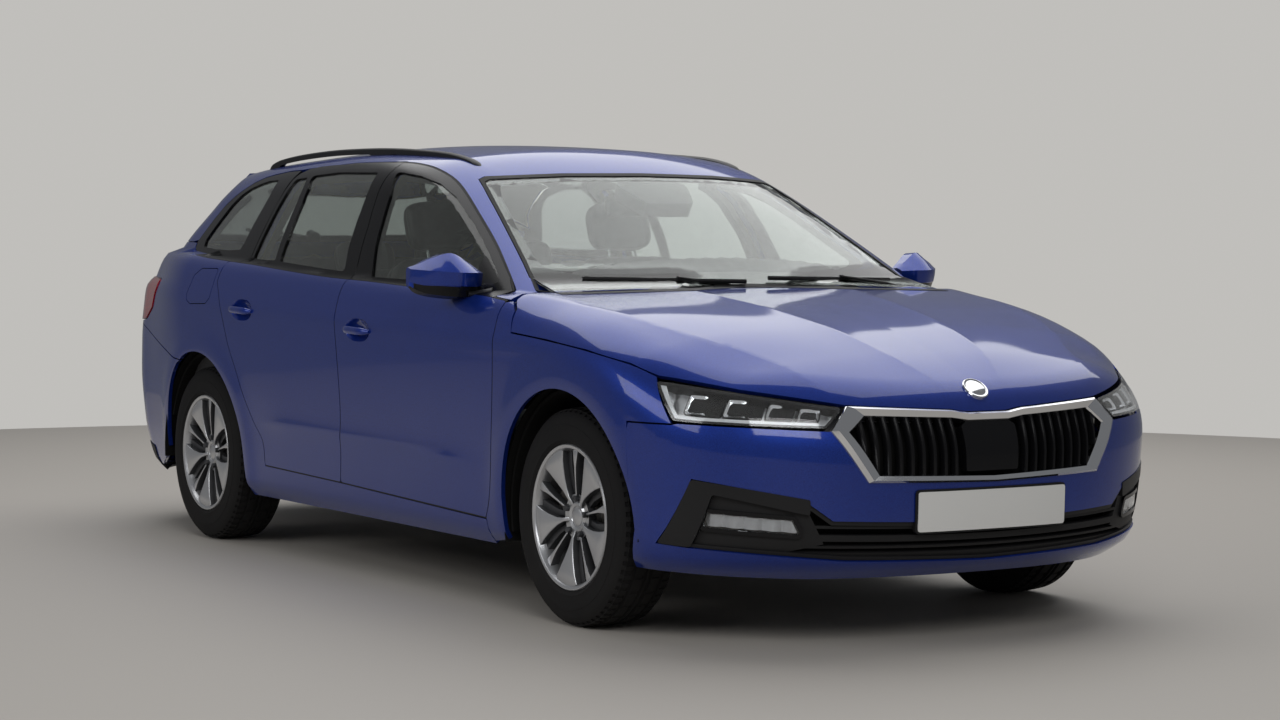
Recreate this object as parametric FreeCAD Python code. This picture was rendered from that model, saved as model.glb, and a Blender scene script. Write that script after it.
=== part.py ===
"""Station wagon: a hollow, panelled body with hinged doors, bonnet and tailgate on four
rolling wheels, the front pair steered.

Frame: +X to the nose, +Y to the left side, +Z up, in millimetres. The origin is on the
ground, under the middle of the body's box. Pieces are drawn for the right side and
mirrored to the left.
"""
import FreeCAD, Part
import math
import os

from FreeCAD import Vector

# ---------------------------------------------------------------- driving dimensions
WHEELBASE = 2686.0
FRONT_AXLE_X = 1454.5
REAR_AXLE_X = FRONT_AXLE_X - WHEELBASE
TRACK = 1541.0
NOSE_X = 2344.5
TAIL_X = -2344.5
HALF_WIDTH = 914.5

TYRE_R = 322.0
TYRE_WIDTH = 205.0
BEAD_R = 209.0          # where the tyre sits on the rim
RIM_LIP_R = 216.0
RIM_WALL = 12.0
RIM_SEAT_HALF = 97.0    # half the distance between the rim's lips
HUB_R = 62.0
DISC_R = 144.0
SPOKES = 5              # each a pair of bars
SPOKE_SPREAD = 9.0      # degrees from a pair's middle to each bar

ARCH_R = 378.0
LINER_T = 12.0
FRONT_LINER_INNER_Y = 470.0
REAR_LINER_INNER_Y = 560.0

GAP = 5.0               # shut line between panels
TRIM_GAP = 0.3          # between a pane or lamp and its frame
SEAT_GAP = 0.3          # between pieces that rest on each other across bodies
FRAME = 45.0            # wall of pillars, roof and tailgate frame
PANEL = 60.0            # wall of wings and bumpers
DOOR_INNER_Y = 800.0    # inside face of the doors below the waist
GLASS = 5.0
GLASS_DEPTH = 10.0      # how far a pane sits below the body surface
DOOR_SLANT = 0.36       # side shut faces run forward as they go inboard, so doors swing clear
GATE_SLANT = 0.60       # tailgate's side faces close in as they go forward

FLOOR_Z = 186.0
FLOOR_T = 44.0
FLOOR_SHEET = 20.0      # raised floor under the rear seat and the load
SEAT_STEP_X = -740.0    # floor steps up under the rear seat
SEAT_FLOOR_Z = 362.0
LOAD_FLOOR_X = -1010.0
LOAD_FLOOR_Z = 560.0
PAN_HALF = 700.0        # half width of the floor pan between the side frames
PAN_TOP = 990.0         # above this the side frames reach in to ROOF_HALF
ROOF_HALF = 560.0
FIREWALL_X = 1125.0
FIREWALL_T = 30.0
BONNET_REAR_X = FIREWALL_X + FIREWALL_T + GAP
CABIN_REAR_X = -2170.0
BELT_Z = 1001.5         # waist line at x = 0
BELT_RISE = 0.040       # its rise to the rear
REACH = 1000.0          # outlines are drawn on planes this far outside the body

# Plan sections of the lower body. Columns: height at x = 0, rise to the rear,
# half width, nose x, tail x.
LOWER_SECTIONS = [
    (FLOOR_Z, 0.000, 826.0, 2232.0, -2215.0),
    (250.0, 0.000, 870.0, 2318.0, -2300.0),
    (318.0, 0.010, 876.0, 2338.0, -2335.0),
    (430.0, 0.010, 886.0, 2342.0, -2342.0),
    (560.0, 0.012, 898.0, NOSE_X, TAIL_X),
    (700.0, 0.018, 908.0, 2325.0, -2338.0),
    (858.0, 0.025, HALF_WIDTH, 2270.0, -2292.0),
    (925.0, 0.034, 902.0, 2190.0, -2238.0),
    (BELT_Z, BELT_RISE, 866.0, 2080.0, -2178.0),
]
# Corner roundness in plan: shares of the half width, each with its depth from the nose or
# tail as a superellipse of this length and power.
NOSE_ROUND = (640.0, 2.4)
TAIL_ROUND = (360.0, 2.7)
NOSE_SHARES = (0.60, 0.88, 0.985)
TAIL_SHARES = (0.70, 0.93, 0.99)

# Plan sections of the glasshouse. Columns: height, screen centre x, screen corner x and y,
# front pillar x and y, half width amidships, rear pillar x and y, back corner x and y,
# back centre x.
GLASSHOUSE_SECTIONS = [
    (900.0, 1262, 1148, 756, 1100, 826, 872, -1800, 800, -2186, 668, -2238),
    (1100.0, 905, 797, 668, 742, 742, 812, -1745, 742, -2096, 614, -2150),
    (1250.0, 640, 533, 606, 470, 672, 745, -1680, 682, -1998, 566, -2035),
    (1360.0, 445, 340, 560, 270, 616, 676, -1612, 622, -1906, 524, -1950),
    (1425.0, 330, 226, 532, 150, 572, 610, -1560, 562, -1858, 480, -1900),
]
# Roof crown. Columns: x, height at the centre, drop at ROOF_EDGE_Y.
ROOF_EDGE_Y = 600.0
ROOF_SECTIONS = [
    (700.0, 1300.0, 60.0),
    (400.0, 1395.0, 58.0),
    (100.0, 1440.0, 55.0),
    (-500.0, 1461.0, 55.0),
    (-1200.0, 1440.0, 58.0),
    (-1900.0, 1378.0, 60.0),
    (-2300.0, 1320.0, 62.0),
]
# Bonnet crown. Columns: x, height at the centre, drop at BONNET_EDGE_Y.
BONNET_EDGE_Y = 800.0
BONNET_SECTIONS = [
    (850.0, 1003.0, 18.0),
    (1200.0, 974.0, 22.0),
    (1500.0, 938.0, 30.0),
    (1800.0, 884.0, 62.0),
    (2050.0, 812.0, 108.0),
    (2250.0, 722.0, 88.0),
    (2420.0, 600.0, 88.0),
]
BONNET_T = 38.0

# Side outlines of the right side, (x, z) where they meet the skin.
FRONT_DOOR_FRONT = [(960, 279), (1003, 372), (1055, 660), (1078, 850), (1066, 960)]
FRONT_DOOR_TOP = [(808, 1098), (593, 1198), (390, 1292), (224, 1346), (30, 1378), (-110, 1386)]
B_LINE = [(-20, 1165), (-5, 1004), (-25, 940), (-12, 560), (-55, 306)]
REAR_DOOR_TOP = [(-450, 1382), (-835, 1360)]
REAR_DOOR_REAR = [(-872, 1265), (-905, 1175), (-972, 1048), (-1040, 960), (-989, 894),
                  (-950, 798), (-922, 731), (-873, 655), (-816, 561), (-742, 465),
                  (-676, 400), (-672, 318)]
FRONT_PANE = [(890, 985), (570, 1158), (372, 1252), (205, 1306), (40, 1334), (-44, 1338),
              (70, 1165), (126, 1014)]
REAR_PANE = [(-84, 1022), (-96, 1162), (-176, 1344), (-455, 1341), (-735, 1326),
             (-676, 1159), (-655, 1045)]
FIXED_PANE = [(-690, 1046), (-712, 1159), (-768, 1324), (-808, 1316), (-836, 1259),
              (-862, 1175), (-915, 1055)]
QUARTER_PANE = [(-994, 1066), (-932, 1175), (-899, 1262), (-882, 1318), (-998, 1310),
                (-1150, 1284), (-1250, 1240), (-1350, 1168), (-1462, 1092), (-1420, 1076)]
B_PILLAR = [(45, 940), (50, 1000), (30, 1165), (-30, 1420), (-230, 1420), (-130, 1165),
            (-105, 1000), (-105, 940)]
WING_TOP = [(1182, 851), (1390, 836), (1604, 816), (1788, 795), (1917, 768), (2012, 742)]
LAMP_REAR_X = 2012.0    # wing's front edge, and the back of the headlamps' sides
BUMPER_TOP_Z = 630.0
REAR_BUMPER_TOP = [(-1300, 660), (-1415, 668), (-2010, 790), (-2450, 790)]
FLAP_HINGE_X = -1122.0
FLAP_GAP = 3.0
FUEL_FLAP = [(-1348, 972), (-1300, 1006), (FLAP_HINGE_X, 1006), (FLAP_HINGE_X, 914),
             (-1171, 876), (-1326, 889)]
HANDLES = [(151.0, 824.0), (-804.0, 872.0)]
HANDLE_SIZE = (226.0, 22.0, 26.0)
HANDLE_STAND = 30.0     # how far a handle stands off the skin

# Front outlines, (y, z), right half.
WINDSCREEN = [(0, 985), (-727, 968), (-574, 1331), (-300, 1368), (0, 1378)]
PILLAR_LINE = [(0, 955), (-772, 955), (-708, 1100), (-644, 1250), (-598, 1360), (-575, 1450),
               (0, 1450)]
BONNET_LIP = [(0, 672), (-95, 672), (-150, 694), (-440, 698), (-868, 760), (-1050, 780)]
HEADLAMP = [(-436, 682), (-496, 616), (-990, 642), (-990, 752), (-868, 750)]
GRILLE = [(0, 664), (-95, 664), (-150, 684), (-428, 686), (-488, 612), (-418, 474), (0, 468)]
LOWER_GRILLE = [(0, 418), (-600, 420), (-760, 466), (-905, 486), (-905, 300), (-820, 292),
                (-640, 268), (0, 258)]
SLATS = 24
SLAT_T = 5.0
GRILLE_FRAME = 20.0
SLAT_DEPTH = 40.0
SLAT_SET_BACK = 16.0    # of the slats' front edges behind the nose

# Rear outlines, (y, z), right half.
TAILGATE = [(618, -560), (622, -640), (700, -690), (800, -702), (950, -702), (1010, -660),
            (1110, -612), (1230, -562), (1320, -532), (1500, -532)]
GATE_TOP_X = -1868.0
BACK_PANE = [(1104, 0), (1110, -560), (1215, -512), (1338, -448), (1345, 0)]
TAIL_LAMP = [(-712, 800), (-712, 958), (-800, 974), (-990, 966), (-990, 860), (-880, 800)]
GATE_LAMP = [(-690, 806), (-690, 946), (-560, 938), (-470, 905), (-470, 868), (-600, 806)]
LAMP_FRONT_X = -1820.0
LAMP_T = 50.0

# Joint axes.
DOOR_HINGE_Y = -HALF_WIDTH
FRONT_HINGE_X = 1086.0
REAR_HINGE_X = -6.0
KINGPIN_Y = -755.0
KNUCKLE_REACH = 110.0   # from the kingpin axis to the knuckle's inner face

# Engine: block's low and high corner. It rests on the front cross member.
SUBFRAME_TOP_Z = 235.0
ENGINE = ((1180.0, -330.0, SUBFRAME_TOP_Z), (1720.0, 330.0, 780.0))


# ---------------------------------------------------------------- shape helpers
def box(x0, x1, y0, y1, z0, z1):
    return Part.makeBox(x1 - x0, y1 - y0, z1 - z0, Vector(x0, y0, z0))


def rod(start, end, radius):
    a, b = Vector(*start), Vector(*end)
    return Part.makeCylinder(radius, (b - a).Length, a, b - a)


def axle_cylinder(x, y0, y1, z, radius):
    """A cylinder along Y, from one y to the other."""
    return rod((x, y0, z), (x, y1, z), radius)


def arc(a, b, c):
    return Part.Arc(a, b, c).toShape()


def mirrored(shape):
    """The left-hand twin of a right-hand shape."""
    return shape.mirror(Vector(0, 0, 0), Vector(0, 1, 0))


def fused(shapes):
    return shapes[0].multiFuse(shapes[1:]).removeSplitter() if len(shapes) > 1 else shapes[0]


def both_sides(shape):
    return Part.makeCompound([shape, mirrored(shape)])


def face_of(points):
    return Part.Face(Part.makePolygon(points + [points[0]]))


def between(table, key):
    """The value that a table of (key, value) rows gives at a key, in straight steps."""
    rows = sorted(table)
    if key <= rows[0][0]:
        return rows[0][1]
    for (k0, v0), (k1, v1) in zip(rows, rows[1:]):
        if key <= k1:
            return v0 + (v1 - v0) * (key - k0) / (k1 - k0)
    return rows[-1][1]


SKIN_Y = [(row[0], row[2]) for row in LOWER_SECTIONS]
SKIN_Y += [(row[0], row[6]) for row in GLASSHOUSE_SECTIONS[1:]]
TAIL_SKIN_X = [(row[0] - row[1] * row[4], row[4]) for row in LOWER_SECTIONS]
TAIL_SKIN_X += [(row[0], row[11]) for row in GLASSHOUSE_SECTIONS[1:]]


def side_prism(outline, slant=DOOR_SLANT, inner_y=-300.0):
    """Right-hand block behind a side outline, its faces slanted forward as they go in."""
    points = [Vector(x - slant * (REACH - between(SKIN_Y, z)), -REACH, z) for x, z in outline]
    depth = REACH + inner_y
    return face_of(points).extrude(Vector(slant * depth, depth, 0))


def front_prism(outline, x0, x1):
    """Block along X behind a front or rear outline of (y, z), both halves."""
    points = list(outline)
    points += [(-y, z) for y, z in reversed(outline) if y != 0]
    return face_of([Vector(x0, y, z) for y, z in points]).extrude(Vector(x1 - x0, 0, 0))


def half_prism(outline, x0, x1):
    """Block along X behind a closed outline of (y, z) on the right side only."""
    return face_of([Vector(x0, y, z) for y, z in outline]).extrude(Vector(x1 - x0, 0, 0))


def grown(outline, amount):
    """The closed outline moved outwards by an amount, or inwards if it is negative."""
    area = sum(a[0] * b[1] - b[0] * a[1] for a, b in zip(outline, outline[1:] + outline[:1]))
    turn = 1.0 if area > 0 else -1.0
    moved = []
    for i, here in enumerate(outline):
        before, after = outline[i - 1], outline[(i + 1) % len(outline)]
        normals = []
        for a, b in ((before, here), (here, after)):
            dx, dz = b[0] - a[0], b[1] - a[1]
            length = math.hypot(dx, dz)
            normals.append((turn * dz / length, -turn * dx / length))
        nx, nz = normals[0][0] + normals[1][0], normals[0][1] + normals[1][1]
        scale = amount * 2.0 / max(nx * nx + nz * nz, 0.8)
        moved.append((here[0] + nx * scale, here[1] + nz * scale))
    return moved


# ---------------------------------------------------------------- outer form
def round_depth(share, length_power):
    length, power = length_power
    return length * (1.0 - (1.0 - share ** power) ** (1.0 / power))


def lower_wire(height, rise, half, nose, tail, inset=0.0):
    """One closed plan section of the lower body, eight arcs."""
    half, nose, tail = half - inset, nose - inset, tail + inset

    def at(x, y):
        return Vector(x, y, height - rise * x)

    def nose_point(share, side):
        return at(nose - round_depth(share, NOSE_ROUND), side * share * half)

    def tail_point(share, side):
        return at(tail + round_depth(share, TAIL_ROUND), side * share * half)

    n1, n2, n3 = NOSE_SHARES
    t1, t2, t3 = TAIL_SHARES
    edges = [arc(nose_point(n1, -1), at(nose, 0), nose_point(n1, 1))]
    edges += [arc(nose_point(n1, 1), nose_point(n2, 1), nose_point(n3, 1))]
    edges += [arc(nose_point(n3, 1), at(0, half), tail_point(t3, 1))]
    edges += [arc(tail_point(t3, 1), tail_point(t2, 1), tail_point(t1, 1))]
    edges += [arc(tail_point(t1, 1), at(tail, 0), tail_point(t1, -1))]
    edges += [arc(tail_point(t1, -1), tail_point(t2, -1), tail_point(t3, -1))]
    edges += [arc(tail_point(t3, -1), at(0, -half), nose_point(n3, -1))]
    edges += [arc(nose_point(n3, -1), nose_point(n2, -1), nose_point(n1, -1))]
    return Part.Wire(edges)


def glasshouse_wire(row, inset=0.0):
    """One closed plan section of the glasshouse."""
    z, screen, cx, cy, px, py, half, qx, qy, bx, by, back = row
    i = inset

    def at(x, y):
        return Vector(x, y, z)

    right = [at(cx - i, -cy + i), at(px - i, -py + i), at(qx + i, -qy + i), at(bx + i, -by + i)]
    left = [Vector(p.x, -p.y, p.z) for p in right]
    edges = [arc(right[0], at(screen - i, 0), left[0])]
    edges += [Part.makeLine(left[0], left[1])]
    edges += [arc(left[1], at(-200, half - i), left[2])]
    edges += [Part.makeLine(left[2], left[3])]
    edges += [arc(left[3], at(back + i, 0), right[3])]
    edges += [Part.makeLine(right[3], right[2])]
    edges += [arc(right[2], at(-200, -half + i), right[1])]
    edges += [Part.makeLine(right[1], right[0])]
    return Part.Wire(edges)


def crown_block(sections, edge_y, top, lower_by=0.0):
    """Everything above a crowned surface, up to the height given."""
    reach = 1100.0
    wires = []
    for x, centre, drop in sections:
        centre -= lower_by
        side = centre - drop * (reach / edge_y) ** 2
        a, b, c = Vector(x, -reach, side), Vector(x, 0, centre), Vector(x, reach, side)
        up, down = Vector(x, reach, top), Vector(x, -reach, top)
        wires.append(Part.Wire([arc(a, b, c), Part.makeLine(c, up), Part.makeLine(up, down),
                                Part.makeLine(down, a)]))
    return Part.makeLoft(wires, True, False)


def lower_body(inset=0.0):
    return Part.makeLoft([lower_wire(*row, inset=inset) for row in LOWER_SECTIONS], True, True)


def glasshouse(inset=0.0):
    """The upper body under its roof crown, all faces moved in by the inset."""
    wires = [glasshouse_wire(row, inset) for row in GLASSHOUSE_SECTIONS]
    solid = Part.makeLoft(wires, True, True)
    return solid.cut(crown_block(ROOF_SECTIONS, ROOF_EDGE_Y, 1700.0, inset))


def gate_plug(clearance=0.0):
    """The tailgate's block: its sides close in going forward, so that it swings out."""
    x_back = TAIL_X - 100.0
    halves = []
    for side in (1, -1):
        edge = [(z, y - clearance) for z, y in TAILGATE]
        edge = [(edge[0][0] - clearance, edge[0][1])] + edge[1:]
        points = [Vector(x_back, side * (y + GATE_SLANT * (x_back - between(TAIL_SKIN_X, z))), z)
                  for z, y in edge]
        points += [Vector(x_back, side * REACH, edge[-1][0]),
                   Vector(x_back, side * REACH, edge[0][0])]
        length = GATE_TOP_X + clearance - x_back
        halves.append(face_of(points).extrude(Vector(length, side * GATE_SLANT * length, 0)))
    return halves[0].common(halves[1])


# ---------------------------------------------------------------- outlines of panels
FRONT_DOOR = FRONT_DOOR_FRONT + FRONT_DOOR_TOP + B_LINE
REAR_DOOR = ([(x - GAP, z) for x, z in reversed(B_LINE)] + [(-116, 1387)] + REAR_DOOR_TOP
             + REAR_DOOR_REAR)
WING = ([(965, 150)] + [(x + GAP, z) for x, z in FRONT_DOOR_FRONT[:4]] + [(1073, 960)]
        + [(BONNET_REAR_X - GAP, 960), (BONNET_REAR_X - GAP, 852)] + WING_TOP
        + [(LAMP_REAR_X, BUMPER_TOP_Z + TRIM_GAP), (FRONT_AXLE_X, BUMPER_TOP_Z + TRIM_GAP),
           (FRONT_AXLE_X, 150)])
BONNET_SIDE = ([(BONNET_REAR_X, 856)] + [(x, z + GAP) for x, z in WING_TOP]
               + [(LAMP_REAR_X, 1200), (BONNET_REAR_X, 1200)])

def y_block(points):
    """A block across the whole body from a side outline of (x, z)."""
    return face_of([Vector(x, -REACH, z) for x, z in points]).extrude(Vector(0, 2 * REACH, 0))


# ---------------------------------------------------------------- blanks
BONNET_BLOCK = crown_block(BONNET_SECTIONS, BONNET_EDGE_Y, 1300.0)
LOWER = lower_body().cut(BONNET_BLOCK)
LOWER_IN = lower_body(PANEL)
LAMP_IN = lower_body(LAMP_T)
GLASS_OUT = glasshouse()
GLASS_IN = glasshouse(FRAME)
OUTER = LOWER.fuse(GLASS_OUT)
CABIN = box(CABIN_REAR_X, FIREWALL_X, -DOOR_INNER_Y, DOOR_INNER_Y, FLOOR_Z + FLOOR_T, 955.0)
BAY = box(FIREWALL_X + FIREWALL_T, NOSE_X - 215.0, -PAN_HALF, PAN_HALF, 100.0, 1200.0)
ARCHES = fused([axle_cylinder(x, side * inner, side * REACH, TYRE_R, ARCH_R)
                for x, inner in ((FRONT_AXLE_X, FRONT_LINER_INNER_Y),
                                 (REAR_AXLE_X, REAR_LINER_INNER_Y)) for side in (-1, 1)])
SHELL = OUTER.cut(CABIN).cut(GLASS_IN).cut(BAY).cut(ARCHES)
PANES = glasshouse(GLASS_DEPTH).cut(glasshouse(GLASS_DEPTH + GLASS))


def door_limit(clearance):
    """What lies inboard of the doors: cabin, screen pillars and roof."""
    half, roof_half = DOOR_INNER_Y - clearance, ROOF_HALF + GAP - clearance
    pillars = front_prism([(min(y + clearance, 0), z) for y, z in PILLAR_LINE], 0.0, 1300.0)
    return fused([pillars, box(-2500.0, 2500.0, -half, half, 0.0, 955.0),
                  box(-2500.0, 2500.0, -roof_half, roof_half, 955.0, 1600.0)])


DOOR_LIMIT = door_limit(0.0)
DOOR_ROOM = side_prism(grown(FRONT_DOOR, GAP)).fuse(side_prism(grown(REAR_DOOR, GAP)))
DOOR_ROOM = DOOR_ROOM.cut(door_limit(GAP))
GATE_ROOM = gate_plug(GAP)
SCREEN_ROOM = front_prism(WINDSCREEN, 200.0, FIREWALL_X + 10.0)
REAR_BUMPER_ROOM = y_block(REAR_BUMPER_TOP + [(-2450, 100), (-1300, 100)])
HEADLAMP_ROOM = half_prism(HEADLAMP, LAMP_REAR_X - 150.0, 2400.0)
TAIL_LAMP_ROOM = half_prism(TAIL_LAMP, -2400.0, LAMP_FRONT_X)


# ---------------------------------------------------------------- body pieces
def floor_pan():
    """Floor, firewall, cowl and load floor between the side frames."""
    middle = box(CABIN_REAR_X, FIREWALL_X + FIREWALL_T, -PAN_HALF, PAN_HALF, FLOOR_Z, PAN_TOP)
    pan = SHELL.common(middle).cut(SCREEN_ROOM)
    half = REAR_LINER_INNER_Y - LINER_T
    sheet = FLOOR_SHEET
    well = box(-2500.0, SEAT_STEP_X, -REACH, REACH, 0.0, LOAD_FLOOR_Z - sheet)
    steps = [box(SEAT_STEP_X - 1.0, SEAT_STEP_X + sheet, -PAN_HALF, PAN_HALF,
                 FLOOR_Z, SEAT_FLOOR_Z),
             box(LOAD_FLOOR_X, SEAT_STEP_X + sheet, -half, half, SEAT_FLOOR_Z - sheet,
                 SEAT_FLOOR_Z),
             box(LOAD_FLOOR_X - sheet, LOAD_FLOOR_X, -half, half, SEAT_FLOOR_Z - sheet,
                 LOAD_FLOOR_Z),
             box(CABIN_REAR_X, LOAD_FLOOR_X, -half, half, LOAD_FLOOR_Z - sheet, LOAD_FLOOR_Z)]
    return largest(fused([largest(pan.cut(well))] + steps))


def largest(shape):
    """The biggest solid of a shape, without slivers."""
    return max(shape.Solids, key=lambda s: s.Volume)


def solids_over(shape, volume):
    """The shape's solids above a volume, as one shape."""
    kept = [s for s in shape.Solids if s.Volume > volume]
    return kept[0] if len(kept) == 1 else Part.makeCompound(kept)


def roof():
    top = box(GATE_TOP_X + GAP, 420.0, -ROOF_HALF, ROOF_HALF, 1250.0, 1500.0)
    sliver = box(-2500.0, GATE_TOP_X + 40.0, -ROOF_HALF, ROOF_HALF, 1250.0, 1345.0)
    return largest(SHELL.common(top).cut(SCREEN_ROOM).cut(GATE_ROOM).cut(sliver))


def hinge_seats():
    """Hinge leaves on the front and centre pillars, where the doors are carried."""
    seat_y = -DOOR_INNER_Y + SEAT_GAP
    front_x = FIREWALL_X + FIREWALL_T - GAP
    front = [box(front_x - 50.0, front_x, seat_y, -772.0, 420.0, 480.0),
             box(front_x - 12.0, front_x, -DOOR_INNER_Y - 6.0, -772.0, 420.0, 480.0)]
    centre = box(-60.0, -20.0, seat_y, -780.0, 440.0, 500.0)
    return front + [centre]


def body_side(with_flap):
    """Right side frame: pillars, roof rail, sill and rear quarter."""
    front_x = FIREWALL_X + FIREWALL_T - GAP
    blank = fused([box(-2500.0, front_x, -REACH, -ROOF_HALF, PAN_TOP, 1500.0),
                   box(-2500.0, front_x, -REACH, -PAN_HALF, 0.0, PAN_TOP),
                   box(-2500.0, GATE_TOP_X, -ROOF_HALF, -520.0, PAN_TOP, 1500.0)])
    side = SHELL.common(blank)
    rooms = [SCREEN_ROOM, DOOR_ROOM, side_prism(WING), GATE_ROOM, REAR_BUMPER_ROOM,
             side_prism(grown(QUARTER_PANE, TRIM_GAP)), TAIL_LAMP_ROOM.cut(LAMP_IN)]
    if with_flap:
        rooms.append(FLAP_ROOM_WIDE)
    for room in rooms:
        side = side.cut(room)
    low = box(-100.0, 40.0, -785.0, -PAN_HALF, FLOOR_Z + 10.0, 960.0)
    low = low.cut(box(-100.0, 40.0, -720.0, 0.0, FLOOR_Z + FLOOR_T, 960.0))
    pillar = GLASS_IN.cut(glasshouse(FRAME + 40.0))
    pillar = pillar.common(side_prism(B_PILLAR, DOOR_SLANT, -ROOF_HALF))
    pillar = pillar.cut(GLASS_IN.cut(glasshouse(FRAME + 6.0)).common(DOOR_ROOM))
    return largest(fused([largest(side), low, largest(pillar)] + hinge_seats()))


FLAP_ROOM_WIDE = side_prism(
    [(min(x, FLAP_HINGE_X + SEAT_GAP), z) for x, z in grown(FUEL_FLAP, FLAP_GAP)],
    0.0, -HALF_WIDTH + 60.0)


def fuel_flap():
    """A thin lid, flush with the quarter."""
    return largest(LOWER.cut(lower_body(8.0)).common(side_prism(FUEL_FLAP, 0.0, -800.0)))


def wings():
    skin = LOWER.cut(LOWER_IN).common(side_prism(WING, DOOR_SLANT, -500.0)).cut(ARCHES)
    skin = skin.cut(grown_lamp_room()).cut(BONNET_ROOM)
    skin = skin.cut(box(LAMP_REAR_X, 2500.0, -REACH, REACH, 0.0, 1500.0))
    return both_sides(largest(skin))


def grown_lamp_room():
    return half_prism(grown(HEADLAMP, TRIM_GAP), LAMP_REAR_X - 152.0, 2400.0).cut(LAMP_IN)


def bonnet_region(clearance):
    """The space that the bonnet takes, out to the sides of the body."""
    c = clearance
    sides = ([(BONNET_REAR_X - c, 856 - c)] + [(x, z + GAP - c) for x, z in WING_TOP]
             + [(LAMP_REAR_X, 1200), (BONNET_REAR_X - c, 1200)])
    rear = y_block(sides)
    lip = [(y, z - c) for y, z in BONNET_LIP] + [(-1050, 1200), (0, 1200)]
    return rear.fuse(front_prism(lip, LAMP_REAR_X, 2450.0))


BONNET_ROOM = bonnet_region(GAP)


def bonnet():
    under = lower_body(30.0).cut(crown_block(BONNET_SECTIONS, BONNET_EDGE_Y, 1300.0, BONNET_T))
    lid = LOWER.common(bonnet_region(0.0)).cut(under)
    return largest(lid)


def headlamps():
    lamp = LOWER.common(HEADLAMP_ROOM).cut(lower_body(LAMP_T - TRIM_GAP)).cut(BONNET_ROOM)
    return both_sides(largest(lamp))


def front_bumper():
    region = y_block([(FRONT_AXLE_X + 100.0, 100), (FRONT_AXLE_X + 100.0, BUMPER_TOP_Z),
                      (LAMP_REAR_X, BUMPER_TOP_Z), (LAMP_REAR_X, 900), (2450, 900), (2450, 100)])
    skin = LOWER.cut(LOWER_IN).common(region).cut(ARCHES).cut(BONNET_ROOM)
    lamp = grown_lamp_room()
    skin = skin.cut(lamp).cut(mirrored(lamp))
    skin = skin.cut(front_prism(grown_front(GRILLE, TRIM_GAP), 2000.0, 2450.0))
    skin = skin.cut(front_prism(LOWER_GRILLE, 1900.0, 2450.0).cut(lower_body(PANEL - 30.0)))
    return largest(skin)


def grown_front(outline, amount):
    """A half outline that starts and ends on the centre line, grown by an amount."""
    whole = outline + [(-y, z) for y, z in reversed(outline) if y != 0]
    return [(min(y, 0.0), z) for y, z in grown(whole, amount)[:len(outline)]]


def grille():
    """Frame, upright slats and centre panel on one backplate, and the lower grille."""
    depth = lower_body(SLAT_DEPTH)
    outline = front_prism(GRILLE, 2000.0, 2450.0)
    plate = depth.cut(lower_body(SLAT_DEPTH + 8.0)).common(outline)
    rim = LOWER.cut(depth).common(outline)
    rim = rim.cut(front_prism(grown_front(GRILLE, -GRILLE_FRAME), 1900.0, 2460.0))
    half = max(abs(y) for y, z in GRILLE) - GRILLE_FRAME
    low = [(abs(y), z) for y, z in GRILLE[4:]]
    high = [(abs(y), z) for y, z in GRILLE[:5]]
    step = 2.0 * half / SLATS
    bars = [(-half + step * (i + 0.5), SLAT_T) for i in range(SLATS)] + [(0.0, 124.0)]
    pieces = [plate, rim]
    for y, width in bars:
        front = NOSE_X - SLAT_SET_BACK - round_depth(abs(y) / HALF_WIDTH, NOSE_ROUND)
        bottom = between(low, abs(y)) + GRILLE_FRAME / 2.0
        top = between(high, abs(y)) - GRILLE_FRAME / 2.0
        if width > SLAT_T:
            bottom, top = 520.0, 640.0
        pieces.append(box(front - SLAT_DEPTH, front, y - width / 2.0, y + width / 2.0, bottom, top))
    upper = pieces[0].multiFuse(pieces[1:])
    lower = lower_body(25.0).cut(lower_body(PANEL - 30.5)).common(
        front_prism(LOWER_GRILLE, 1900.0, 2450.0)).cut(ARCHES)
    return Part.makeCompound([largest(upper), largest(lower)])


def rear_bumper():
    hollow = lower_body(PANEL).common(box(-2500.0, 0.0, -REACH, REACH, 230.0, 1000.0))
    skin = LOWER.cut(hollow).common(REAR_BUMPER_ROOM).cut(ARCHES).cut(GATE_ROOM)
    skin = skin.cut(box(CABIN_REAR_X, 0.0, -PAN_HALF, PAN_HALF, 0.0, 1000.0))
    skin = skin.cut(box(CABIN_REAR_X, 0.0, -DOOR_INNER_Y, DOOR_INNER_Y, 0.0, 1000.0))
    lamp = TAIL_LAMP_ROOM.cut(LAMP_IN)
    return largest(skin.cut(lamp).cut(mirrored(lamp)))


def tail_lamps():
    room = half_prism(grown(TAIL_LAMP, -TRIM_GAP), -2400.0, LAMP_FRONT_X - TRIM_GAP)
    lamp = LOWER.cut(lower_body(LAMP_T - TRIM_GAP)).common(room).cut(GATE_ROOM)
    return both_sides(largest(lamp))


def tailgate():
    blank = OUTER.common(gate_plug()).cut(GLASS_IN).cut(lower_body(PANEL))
    blank = blank.cut(GLASS_IN).cut(box(GATE_TOP_X, 2500, -REACH, REACH, 0, 1600))
    window = front_prism([(y, z) for z, y in BACK_PANE], -2400.0, -1700.0)
    lamps = half_prism(GATE_LAMP, -2400.0, -2150.0).cut(lower_body(30.0))
    return largest(blank.cut(window).cut(lamps).cut(mirrored(lamps)))


def tailgate_glass():
    outline = [(y + (0 if y == 0 else TRIM_GAP), z + (TRIM_GAP if z < 1200 else -TRIM_GAP))
               for z, y in BACK_PANE]
    return largest(PANES.common(front_prism(outline, -2400.0, -1700.0)))


def tailgate_lamps():
    lamp = LOWER.cut(lower_body(28.0)).common(
        half_prism(grown(GATE_LAMP, -TRIM_GAP), -2400.0, -2100.0))
    return both_sides(largest(lamp))


def pane(outline):
    return largest(PANES.common(side_prism(outline)))


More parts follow.
